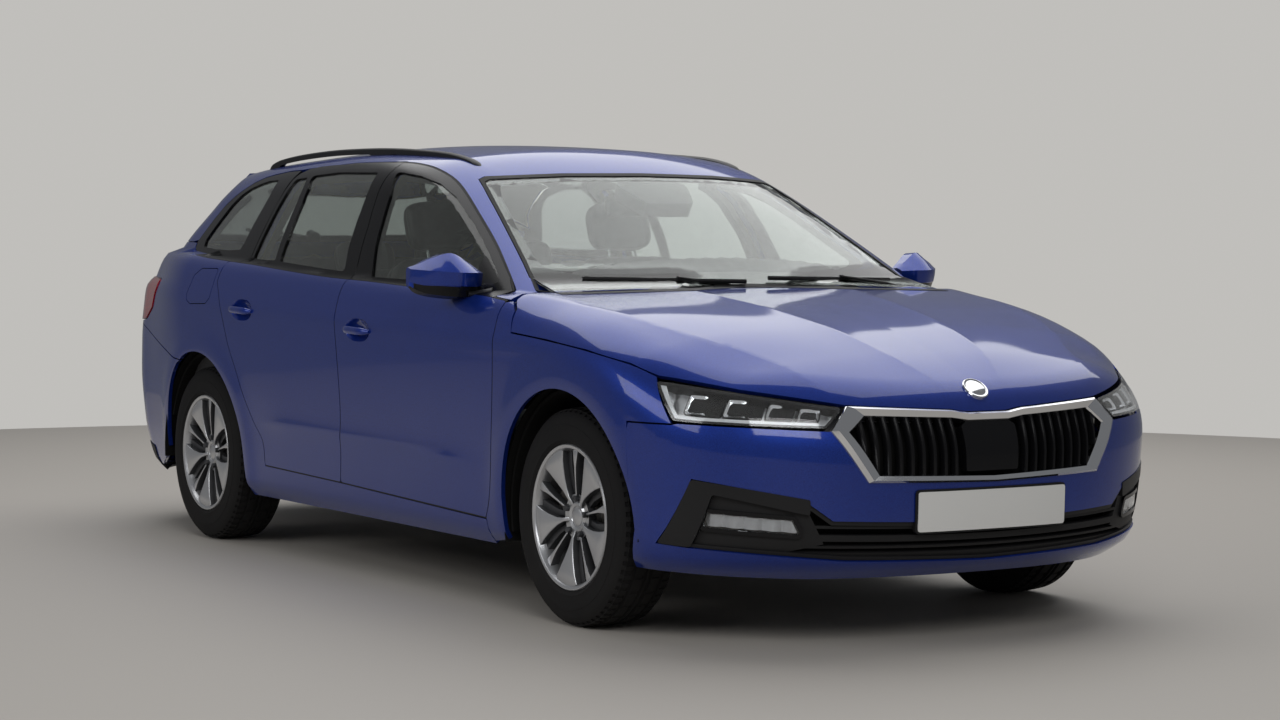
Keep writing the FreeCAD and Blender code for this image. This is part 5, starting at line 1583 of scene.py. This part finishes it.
def wheel_face():
    """Five broad spokes with slender ones between them, on a hub with five bolts."""
    bm = bmesh.new()
    for k in range(5):
        at = 72.0 * k - 30.0
        fan = [(0.04, -8.0), (0.062, -5.0), (0.09, -7.0), (0.13, -11.5), (0.17, -15.0),
            (0.1975, -17.5), (0.2015, -14.0), (0.2022, -5.0), (0.2022, 5.0), (0.2015, 14.0),
            (0.1975, 17.5), (0.17, 15.0), (0.13, 11.5), (0.09, 7.0), (0.062, 5.0), (0.04, 8.0)]
        plate_of([polar(r, at + a) for r, a in fan], 0.034, 0.0025, bm)
        slender = [(0.066, 33.0), (0.1, 34.2), (0.15, 34.0), (0.197, 32.0), (0.2015, 36.0),
            (0.197, 40.0), (0.15, 38.0), (0.1, 37.8), (0.066, 39.0)]
        bar = plate_of([polar(r, at + a) for r, a in slender], 0.026, 0.0018)
        shift(bar, (0, 0.006, 0))
        add_mesh(bm, bar)
        wall = [(0.052, 8.0), (0.11, 10.0), (0.199, 14.5), (0.199, 23.0), (0.11, 19.0),
            (0.052, 22.0)]
        for sign in (-1.0, 1.0):
            side = plate_of([polar(r, at + sign * a) for r, a in wall], 0.02, 0.001)
            shift(side, (0, 0.02, 0))
            for face in side.faces:
                face.material_index = 1
            add_mesh(bm, side)
    cuts = [e for e in bm.edges if e.calc_length() > 0.03]
    bmesh.ops.subdivide_edges(bm, edges=cuts, cuts=1)
    hub = turned(mm((0, -2), (22, -1.5), (26.5, 1), (27.5, 4), (29.5, 4), (31, 1), (40, 1),
        (47, 8), (68, 14), (70, 36), (0, 36)), 60)
    for k in range(5):
        x, z = polar(0.0545, 72.0 * k + 6.0)
        hole = turned(mm((0, -4), (7.5, -4.5), (8.8, -3), (9.2, 10), (12.5, 10), (13, 12.5),
            (0, 12.5)), 18)
        shift(hole, (x, 0.002, z))
        for face in hole.faces:
            face.material_index = 1
        add_mesh(hub, hole)
    add_mesh(bm, hub)
    for face in bm.faces:
        if abs(face.normal.y) < 0.45 and face.calc_center_median().y > 0.004:
            face.material_index = 1
    dish(bm)
    return bm


def wheel_barrel():
    return turned(mm((198.5, 10), (203.5, 2), (207.5, 0), (212.5, 0), (215, 3.5), (215, 10),
        (208.5, 14), (206.5, 30), (206.5, 160), (213, 176), (215, 186), (213, 190), (201, 188),
        (196, 170), (196, 60), (193, 32), (198.5, 10)), 72)


def tyre_shape():
    """A tyre with grooves round it and blocks cut across its shoulders."""
    radius, width = 0.3195, 0.203
    depth = sizes().tread_depth
    profile = mm((212, 14), (217.5, 6), (228, -0.5), (233, 0.5), (248, -1.2), (270, 0), (271, 1.2),
        (289, 4), (299, 7.8), (308.5, 15), (313.5, 23.5))
    ribs = [0.0235, 0.047, 0.05, 0.057, 0.06, 0.086, 0.089, 0.0965, 0.0995]
    deep = [False, False, True, True, False, False, True, True, False]
    run = []
    for y, low in zip(ribs, deep):
        crown = radius + 0.0025 - 0.0085 * ((y - width / 2) / (width / 2)) ** 2
        run.append((crown - (depth if low else 0.0), y))
    profile += run + [(r, width - y) for r, y in run[::-1]]
    profile += [(r, width - y) for r, y in profile[:11][::-1]]
    profile += [(0.2085, width - 0.03), (0.2085, 0.03), profile[0]]
    bm = turned(profile, sizes().tread_blocks * 2)
    shoulder, middle_rib = [], []
    for face in bm.faces:
        x, y, z = face.calc_center_median()
        r = hypot(x, z)
        turn = int((atan2(z, x) % tau) / tau * sizes().tread_blocks * 2)
        inner = min(y, width - y)
        if r > 0.305 and 0.0155 < inner < 0.045 and turn % 2 == 0:
            shoulder.append(face)
        elif r > 0.316 and 0.062 < inner < 0.085 and turn % 4 == 1:
            middle_rib.append(face)
    bmesh.ops.inset_individual(bm, faces=shoulder, thickness=0.0016, depth=-0.0035)
    bmesh.ops.inset_individual(bm, faces=middle_rib, thickness=0.0022, depth=-0.003)
    return bm


def brake_disc():
    return turned(mm((34, 60), (70, 60), (72, 78), (144, 78), (146, 80), (146, 86), (134, 88),
        (134, 94), (146, 96), (146, 102), (144, 104), (70, 104), (66, 70), (34, 70), (34, 60)), 64)


class WAGON_OT_wheels(Operator):
    """Alloy wheels, tyres with tread, brake discs and callipers"""
    bl_idname = "wagon.wheels"
    bl_label = "Wheels and tyres"

    def execute(self, context):
        shapes = (("wheel_face", wheel_face(), ["wheel_alloy", "wheel_pocket"], "wheel_alloy",
            0.006, []), ("wheel_barrel", wheel_barrel(), "wheel_alloy", "wheel_alloy", 0.005,
            ["rim_{end}_{hand}"]), ("tyre", tyre_shape(), "tyre_rubber", "tyre_rubber", 0.001,
            ["tyre_{end}_{hand}"]), ("brake_disc", brake_disc(), "disc_iron", "cast_iron", 0.0,
            []))
        for name, shape, material, slot, inset, replaced in shapes:
            for end, axle_x in (("front", FRONT_X), ("rear", REAR_X)):
                for hand, sign in HANDS:
                    face_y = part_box(f"tyre_{end}_{hand}")[0 if sign < 0 else 1].y
                    bm = mirror_copy(shape) if sign > 0 else shape.copy()
                    shift(bm, (axle_x, face_y - sign * inset, AXLE_Z))
                    new_piece(f"{name}_{end}_{hand}", bm, material, f"wheel_{end}_{hand}",
                        replaces=[n.format(end=end, hand=hand) for n in replaced],
                        angle=30.0)
            shape.free()
        for end, axle_x, body in (("front", FRONT_X, "knuckle_{hand}"), ("rear", REAR_X, "root")):
            bm = bmesh.new()
            rings = []
            for depth in (0.064, 0.07, 0.112, 0.118):
                grow = 0.004 if 0.065 < depth < 0.115 else -0.002
                rings.append([(axle_x + (-1 if end == "front" else 1)
                    * ((0.098 if inner else 0.158 + grow) * cos(radians(a))), -0.871 + depth,
                    AXLE_Z + (0.098 if inner else 0.158 + grow) * sin(radians(a))) for inner, a
                    in [(False, a) for a in range(-34, 35, 8)]
                    + [(True, a) for a in range(30, -31, -10)]])
            loft(rings, bm=bm)
            both_sides(f"calliper_{end}", bm, "cast_iron", body)
        return {"FINISHED"}


# ---- cabin
def pad(name, size, place, crown, bolster=0.0, seams=(), turn=(0, 0, 0), replaces=(),
        cuts=23, power=5.0):
    """A stuffed cushion: crowned on top (z), with raised sides and sewn channels."""
    bm = bmesh.new()
    bmesh.ops.create_cube(bm, size=2.0)
    bmesh.ops.subdivide_edges(bm, edges=bm.edges[:], cuts=cuts, use_grid_fill=True)
    half = Vector(size) / 2.0
    for vert in bm.verts:
        x, y, z = vert.co
        norm = (abs(x) ** power + abs(y) ** power + abs(z) ** power) ** (1.0 / power)
        soft = Vector((x, y, z)) / norm
        pull = 1.0 - 0.035 * (1.0 - y * y) * (1.0 - z * z)
        wide = 1.0 - 0.035 * (1.0 - x * x) * (1.0 - z * z)
        spot = Vector((soft.x * half.x * pull, soft.y * half.y * wide, soft.z * half.z))
        if z > 0.0:
            lift = crown * (1.0 - x * x) * (1.0 - y * y)
            lift += bolster * ease((abs(y) - 0.5) / 0.22) * ease((1.02 - abs(y)) / 0.2)
            lift *= ease((1.0 - abs(x)) / 0.25)
            for axis, at in seams:
                away = spot[axis] - at
                lift -= 0.007 * exp(-(away / 0.009) ** 2)
            spot.z += lift * z
        welt = max(0.0, 1.0 - abs(z) / 0.1) * ease((max(abs(x), abs(y)) - 0.9) / 0.1)
        vert.co = Vector((spot.x * (1.0 - 0.012 * welt), spot.y * (1.0 - 0.012 * welt), spot.z))
    for face in bm.faces:
        middle_y = face.calc_center_median().y
        if abs(middle_y) > half.y * 0.62:
            face.material_index = 1
    pose = Matrix.Translation(place)
    for angle, axis in zip(turn, "XYZ"):
        pose = pose @ Matrix.Rotation(radians(angle), 4, axis)
    bmesh.ops.transform(bm, matrix=pose, verts=bm.verts)
    piece = new_piece(name, bm, ["seat_fabric", "cabin_leather"], replaces=replaces, angle=60.0)
    return piece


class WAGON_OT_seats(Operator):
    """Front seats and rear bench: padded cushions, backs and head restraints"""
    bl_idname = "wagon.seats"
    bl_label = "Seats"

    def execute(self, context):
        for hand, sign in HANDS:
            y = 0.37 * sign
            pad(f"front_cushion_{hand}", (0.5, 0.49, 0.15), (0.13, y, 0.465), 0.012, 0.034,
                [(1, 0.14), (1, -0.14), (0, -0.06), (0, 0.13)], (0, -4, 0),
                replaces=["front_seats"] if sign < 0 else ())
            # A back lies on its side until it is turned up: x along it, z towards the sitter.
            pad(f"front_back_{hand}", (0.62, 0.48, 0.13), (-0.16, y, 0.765), 0.014, 0.036,
                [(1, 0.13), (1, -0.13), (0, -0.15), (0, 0.17)], (0, 70, 0))
            pad(f"front_headrest_{hand}", (0.185, 0.255, 0.09), (-0.31, y, 1.168), 0.01, 0.0,
                [(1, 0.085), (1, -0.085)], (0, 72, 0), cuts=15, power=3.6)
            frame_bm = block((-0.06, y - 0.2, 0.262), (0.34, y + 0.2, 0.395), 0.02, 3)
            for offset in (-0.17, 0.17):
                block((-0.11, y + offset - 0.018, 0.222), (0.39, y + offset + 0.018, 0.262), 0.004,
                    2, frame_bm)
                block((-0.08, y + offset * 1.42 - 0.012, 0.36),
                    (0.26, y + offset * 1.42 + 0.012, 0.44), 0.01, 2, frame_bm)
            new_piece(f"front_seat_base_{hand}", frame_bm, "cabin_plastic")
            posts = bmesh.new()
            for offset in (-0.055, 0.055):
                sweep([(-0.262, y + offset, 1.02), (-0.288, y + offset, 1.1)], 0.012, 0.012,
                    up=LEFT, bm=posts)
            new_piece(f"headrest_posts_{hand}", posts, "satin_chrome")
        for tag, low, high in (("right", -0.54, -0.005), ("left", 0.005, 0.54)):
            pad(f"rear_cushion_{tag}", (0.47, high - low, 0.15), (-0.62, (low + high) / 2, 0.47),
                0.014, 0.018, [(1, 0.15), (1, -0.15), (0, 0.06)], (0, -6, 0),
                replaces=["rear_seat"] if tag == "right" else ())
            pad(f"rear_back_{tag}", (0.6, high - low, 0.11), (-0.825, (low + high) / 2, 0.728),
                0.014, 0.018, [(1, 0.15), (1, -0.15), (0, 0.11)], (0, 68, 0))
        posts = bmesh.new()
        for tag, y in (("right", -0.335), ("centre", 0.0), ("left", 0.335)):
            pad(f"rear_headrest_{tag}", (0.125, 0.24, 0.085), (-0.968, y, 1.05), 0.008, 0.0,
                [(1, 0.08), (1, -0.08)], (0, 70, 0), cuts=13, power=3.4)
            for offset in (-0.05, 0.05):
                sweep([(-0.925, y + offset, 0.965), (-0.955, y + offset, 1.03)], 0.011, 0.011,
                    up=LEFT, bm=posts)
        new_piece("rear_headrest_posts", posts, "satin_chrome")
        base = block((-0.8, -0.53, 0.245), (-0.44, 0.53, 0.4), 0.02, 3)
        new_piece("rear_seat_base", base, "cabin_plastic")
        cover = block((-1.82, -0.6, 0.968), (-1.02, 0.6, 0.978), 0.004, 2)
        for i in range(7):
            x = -1.76 + 0.11 * i
            block((x, -0.58, 0.976), (x + 0.07, 0.58, 0.982), 0.002, 2, cover)
        new_piece("load_cover", cover, "cabin_plastic")
        return {"FINISHED"}


class WAGON_OT_dashboard(Operator):
    """Dashboard, displays, vents, console, steering wheel and inner mirror"""
    bl_idname = "wagon.dashboard"
    bl_label = "Dashboard and steering wheel"

    def execute(self, context):
        rings = []
        for i in range(33):
            y = -0.765 + 1.53 * i / 32
            hood = exp(-((y + 0.37) / 0.17) ** 4)
            end = 0.016 * ease((abs(y) - 0.6) / 0.165)
            rings.append([(x, y, z - end) for x, z in ((1.11, 0.935), (1.02, 0.948), (0.88, 0.946),
                (0.8, 0.942 + 0.02 * hood), (0.755 - 0.035 * hood, 0.936 + 0.026 * hood),
                (0.738 - 0.048 * hood, 0.924 + 0.026 * hood), (0.742, 0.905), (0.726, 0.88),
                (0.716, 0.86), (0.716, 0.835), (0.735, 0.815), (0.752, 0.76), (0.765, 0.7),
                (0.8, 0.65), (0.87, 0.622), (1.11, 0.63))])
        new_piece("dashboard_body", loft(rings), "cabin_plastic", replaces=["dashboard"])
        band = sweep([(0.714, -0.74 + 0.0925 * i, 0.848) for i in range(17)], 0.012, 0.02)
        new_piece("dashboard_band", band, "satin_chrome")
        screens = block((0.698, -0.128, 0.872), (0.712, 0.128, 1.000), 0.006, 3)
        block((0.712, -0.47, 0.872), (0.728, -0.27, 0.938), 0.006, 2, screens)
        new_piece("displays", screens, "black_gloss")
        vents = bmesh.new()
        for y in (-0.66, -0.19, 0.19, 0.66):
            block((0.706, y - 0.058, 0.862), (0.73, y + 0.058, 0.912), 0.006, 2, vents)
            for k in range(4):
                block((0.7, y - 0.05, 0.869 + 0.01 * k), (0.712, y + 0.05, 0.873 + 0.01 * k),
                    0.0012, 1, vents)
        new_piece("air_vents", vents, "black_satin")
        rings = []
        for x, wide, top in mm((800, 105, 700), (700, 115, 640), (560, 115, 560), (400, 112, 535),
                (150, 110, 530), (-100, 110, 540), (-250, 105, 530)):
            rings.append([(x, wide * w, z) for w, z in ((-1, 0.22), (-1, top - 0.05),
                (-0.93, top - 0.012), (-0.75, top), (0.75, top), (0.93, top - 0.012),
                (1, top - 0.05), (1, 0.22))])
        new_piece("centre_console", loft(rings), "cabin_plastic")
        pad("armrest", (0.3, 0.19, 0.075), (-0.085, 0.0, 0.578), 0.008, 0.0, (), cuts=13)
        lever = turned(mm((0, -95), (14, -94), (23, -84), (24, -64), (16, -45), (12, -30),
            (30, -6), (42, 0), (0, 2)), 28)
        facing(lever, Vector((0.345, 0.0, 0.538)), Vector((-0.1, 0, 1)), up=AHEAD)
        new_piece("gear_lever", lever, "cabin_leather")
        self.steering()
        inner = block((0.405, -0.125, 1.205), (0.432, 0.125, 1.272), 0.012, 4)
        sweep([(0.425, 0.0, 1.262), (0.452, 0.0, 1.3)], 0.02, 0.02, up=LEFT, bm=inner)
        new_piece("inner_mirror", inner, "black_satin")
        face = block((0.4035, -0.116, 1.214), (0.4065, 0.116, 1.264), 0.001, 1)
        new_piece("inner_mirror_glass", face, "mirror_silver")
        return {"FINISHED"}

    def steering(self):
        place, axis = Vector((0.56, -0.37, 0.88)), Vector((-0.9135, 0, 0.4067))
        ring = turned([(0.178 + 0.0165 * cos(tau * i / 16), 0.0135 * sin(tau * i / 16)) for i
            in range(17)], 80)
        facing(ring, place, axis)
        new_piece("steering_rim", ring, "cabin_leather", replaces=["steering_wheel"])
        hub = plate_of(rounded(mm((-70, 52), (70, 52), (86, 10), (52, -66), (-52, -66), (-86, 10)),
            0.02, 5), 0.05, 0.012)
        for outline in (mm((-172, 22), (-70, 30), (-70, -20), (-172, -12)),
                mm((172, 22), (70, 30), (70, -20), (172, -12)),
                mm((-30, -55), (30, -55), (18, -172), (-18, -172))):
            spoke = plate_of(rounded(outline, 0.008), 0.018, 0.004)
            shift(spoke, (0, 0.01, 0))
            add_mesh(hub, spoke)
        facing(hub, place + axis * 0.012, axis)
        new_piece("steering_hub", hub, "cabin_plastic")
        trims = bmesh.new()
        for sign in (-1.0, 1.0):
            trim = plate_of(rounded([(sign * 0.074, 0.018), (sign * 0.128, 0.015),
                (sign * 0.122, -0.008), (sign * 0.076, -0.012)], 0.005), 0.004, 0.001)
            add_mesh(trims, trim)
        facing(trims, place + axis * 0.006, axis)
        new_piece("steering_trims", trims, "satin_chrome")
        rings = []
        for along, wide, tall in mm((35, 40, 45), (70, 56, 62), (150, 62, 66), (215, 60, 60)):
            centre = place - axis * along
            rings.append([centre + Vector((0.4067, 0, 0.9135)) * (tall * sin(tau * k / 16)) + LEFT
                * (wide * cos(tau * k / 16)) for k in range(16)])
        column = loft(rings)
        for sign in (-1.0, 1.0):
            start = place - axis * 0.085
            sweep([start + Vector((0, sign * 0.04, 0)), start + Vector((0.004, sign * 0.1, 0.008)),
                start + Vector((-0.004, sign * 0.165, 0.012))], 0.014, 0.01, bm=column)
        new_piece("steering_column", column, "cabin_plastic")


class WAGON_OT_linings(Operator):
    """Door shells and cards, door apertures, load side trim and head lining"""
    bl_idname = "wagon.linings"
    bl_label = "Linings and apertures"

    def execute(self, context):
        for door, full, low in (("front_door", front_door_line(), front_door_low()),
                ("rear_door", rear_door_line(), rear_door_low())):
            body = door + "_{hand}"
            panel(door + "_shell", grown(low, -0.012), SIDE, "blue_paint", body,
                holes=[grown(low, -0.034)], skin=0.05, lift=-0.0135, pitch=0.05, edge=0)
            panel(door + "_card", grown(low, -0.016), SIDE, "cabin_plastic", body, skin=0.012,
                lift=-0.056, pitch=0.04)
            rim = [(x, min(z, 1.392)) for x, z in grown(full, 0.026)]
            panel(door + "_aperture", rim, SIDE, "blue_paint", holes=[grown(full, -0.007)],
                skin=0.02, lift=-0.0165, pitch=0.05, edge=0)
            panel(door + "_pillar_trim", rim, SIDE, "cabin_plastic", holes=[grown(full, -0.012)],
                skin=0.024, lift=-0.038, pitch=0.05)
            # A black strip nearly flush in the shut line round each door: a rubber seal, and also
            # painted shade that darkens the gap in place of its shadow.
            panel(door + "_seal", grown(full, 0.0046), SIDE, "black_plastic",
                holes=[grown(full, 0.0004)], skin=0.008, lift=-0.001, pitch=0.05, edge=0)
        guards = bmesh.new()
        for axle_x, start, end in ((FRONT_X, -5, 196), (REAR_X, -8, 186)):
            inner_run = arch_run(axle_x, start, end, ARCH_R + 0.01)
            outer_run = arch_run(axle_x, start, end, ARCH_R + 0.014)
            loft([[(u, -0.6, v), (u, -0.868, v), (p, -0.868, q), (p, -0.6, q)] for (u, v), (p, q)
                in zip(inner_run, outer_run)], bm=guards)
        both_sides("arch_guard", guards, "liner_plastic")
        for door, low_x, high_x, z in (("front_door", 0.06, 0.62, 0.64),
                ("rear_door", -0.68, -0.18, 0.655)):
            rest = block((low_x, -0.835, z - 0.03), (high_x, -0.775, z + 0.03), 0.014, 3)
            block((low_x + 0.05, -0.842, z + 0.115), (low_x + 0.22, -0.812, z + 0.15), 0.01, 2,
                rest)
            both_sides(f"{door}_armrest", rest, "cabin_leather", door + "_{hand}")
        side = [(-1.06, 0.46), (-1.02, 1.02), (-1.45, 1.03), (-1.88, 1.02), (-1.92, 0.5)]
        panel("load_side_trim", side, SIDE, "cabin_plastic", skin=0.01, lift=-0.085, pitch=0.05,
            edge=0.004)
        panel("head_lining", grown(roof_line(cant_line()), -0.004), TOP, "head_lining",
            skin=0.008, lift=-0.0145, pitch=0.04, edge=0.004, hands=CENTRE)
        gate = both_halves([(0.0, 0.64)] + mm((-580, 645), (-635, 720), (-640, 940), (-596, 1020),
            (-548, 1080), (0, 1088)))
        panel("tailgate_card", gate, BACK, "cabin_plastic", "tailgate", skin=0.01, lift=-0.045,
            pitch=0.05, hands=CENTRE)
        return {"FINISHED"}


# ---- studio
# Camera: millimetres of lens, place, and yaw, pitch and roll in degrees.
CAMERA_LENS = 79.33
CAMERA_PLACE = (8.5429, -5.0049, 1.1743)
CAMERA_TURN = (148.2794, -2.7285, 0.2634)


class WAGON_OT_stage(Operator):
    """Camera, soft lights and a plain pale floor"""
    bl_idname = "wagon.stage"
    bl_label = "Stage"

    def execute(self, context):
        scene = context.scene
        data = bpy.data.cameras.new("camera")
        data.sensor_width = 36.0
        data.lens = CAMERA_LENS
        camera = bpy.data.objects.new("camera", data)
        scene.collection.objects.link(camera)
        yaw, pitch, roll = (radians(a) for a in CAMERA_TURN)
        ahead = Vector((cos(pitch) * cos(yaw), cos(pitch) * sin(yaw), sin(pitch)))
        right = ahead.cross(UP).normalized()
        up = right.cross(ahead)
        right, up = (right * cos(roll) + up * sin(roll), up * cos(roll) - right * sin(roll))
        turn = Matrix((right, up, -ahead)).transposed()
        camera.matrix_world = Matrix.Translation(CAMERA_PLACE) @ turn.to_4x4()
        scene.camera = camera
        scene.view_settings.view_transform = "Standard"

        material = bpy.data.materials.new("studio_floor")
        material.use_nodes = True
        bsdf = material.node_tree.nodes["Principled BSDF"]
        preset(bsdf, Base_Color=colours().floor, Roughness=0.6)
        bm = bmesh.new()
        bmesh.ops.create_circle(bm, cap_ends=True, segments=96, radius=7.0)
        mesh = bpy.data.meshes.new("studio_floor")
        bm.to_mesh(mesh)
        bm.free()
        mesh.materials.append(material)
        floor = bpy.data.objects.new("studio_floor", mesh)
        scene.collection.objects.link(floor)

        world = bpy.data.worlds.new("studio")
        scene.world = world
        world.use_nodes = True
        tree = world.node_tree
        soft, seen = tree.nodes["Background"], node(tree, "Background")
        preset(soft, Color=(0.52, 0.53, 0.55, 1.0), Strength=0.3)
        preset(seen, Color=(0.53, 0.52, 0.5, 1.0), Strength=1.0)
        rays, mix = node(tree, "LightPath"), node(tree, "MixShader")
        either = node(tree, "Math", operation="MAXIMUM")
        wire(tree, (rays, "Is Camera Ray", either, 0), (rays, "Is Transmission Ray", either, 1),
            (either, 0, mix, "Fac"), (soft, 0, mix, 1), (seen, 0, mix, 2),
            (mix, 0, tree.nodes["World Output"], "Surface"))
        for name, place, aim, size, power in (("overhead", (-2.2, 2.2, 5.6), (-1.2, 1.0, 0),
                (9.0, 8.0), 330), ("front_soft", (7.5, -3.0, 4.5), (1.0, 0, 0.6), (4.0, 3.0), 150),
                ("side_soft", (0.5, -8.0, 4.0), (0.0, 0, 0.6), (7.0, 3.0), 150)):
            lamp = bpy.data.lights.new(name, "AREA")
            lamp.shape = "RECTANGLE"
            lamp.size, lamp.size_y = size
            lamp.energy = power
            light = bpy.data.objects.new(name, lamp)
            scene.collection.objects.link(light)
            light.location = place
            light.rotation_euler = (Vector(aim) - Vector(place)).to_track_quat("-Z",
                "Y").to_euler()
        return {"FINISHED"}


class WAGON_OT_carried(Operator):
    """Finishes for the frame's own pieces that stay in sight"""
    bl_idname = "wagon.carried"
    bl_label = "Frame finishes"

    def execute(self, context):
        other = {"lamp_glass": "black_gloss", "window_glass": "side_glass", "red_lamp": "red_lens",
            "black_plastic": "liner_plastic"}
        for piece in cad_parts.values():
            for place in piece.material_slots:
                base = place.material.name.split(".")[0] if place.material else ""
                place.material = FINISHES.get(other.get(base, base), FINISHES["painted_dark"])
        return {"FINISHED"}


STEPS = [WAGON_OT_finishes, WAGON_OT_stage, WAGON_OT_carried, WAGON_OT_doors, WAGON_OT_sides,
    WAGON_OT_front, WAGON_OT_tail, WAGON_OT_glass, WAGON_OT_lamps, WAGON_OT_grille,
    WAGON_OT_lower_front, WAGON_OT_handles, WAGON_OT_mirrors, WAGON_OT_roof_parts,
    WAGON_OT_screen_parts, WAGON_OT_tail_parts, WAGON_OT_wheels, WAGON_OT_seats,
    WAGON_OT_dashboard, WAGON_OT_linings]


class WAGON_PT_panel(Panel):
    """Lists the sizes, the colours and the steps"""
    bl_idname = "WAGON_PT_panel"
    bl_label = "Station wagon"
    bl_space_type = "VIEW_3D"
    bl_region_type = "UI"
    bl_category = "Wagon"

    def draw(self, context):
        for group in (context.scene.wagon_sizes, context.scene.wagon_colours):
            box = self.layout.box()
            for key in group.bl_rna.properties.keys():
                if key not in ("rna_type", "name"):
                    box.prop(group, key)
        for step in STEPS:
            self.layout.operator(step.bl_idname)


CLASSES = [WagonSizes, WagonColours] + STEPS + [WAGON_PT_panel]


def register():
    for cls in CLASSES:
        bpy.utils.register_class(cls)
    bpy.types.Scene.wagon_sizes = PointerProperty(type=WagonSizes)
    bpy.types.Scene.wagon_colours = PointerProperty(type=WagonColours)


def unregister():
    del bpy.types.Scene.wagon_colours
    del bpy.types.Scene.wagon_sizes
    for cls in reversed(CLASSES):
        bpy.utils.unregister_class(cls)


def main():
    register()
    for step in STEPS:
        group, name = step.bl_idname.split(".")
        getattr(getattr(bpy.ops, group), name)()


if __name__ == "__main__":
    main()
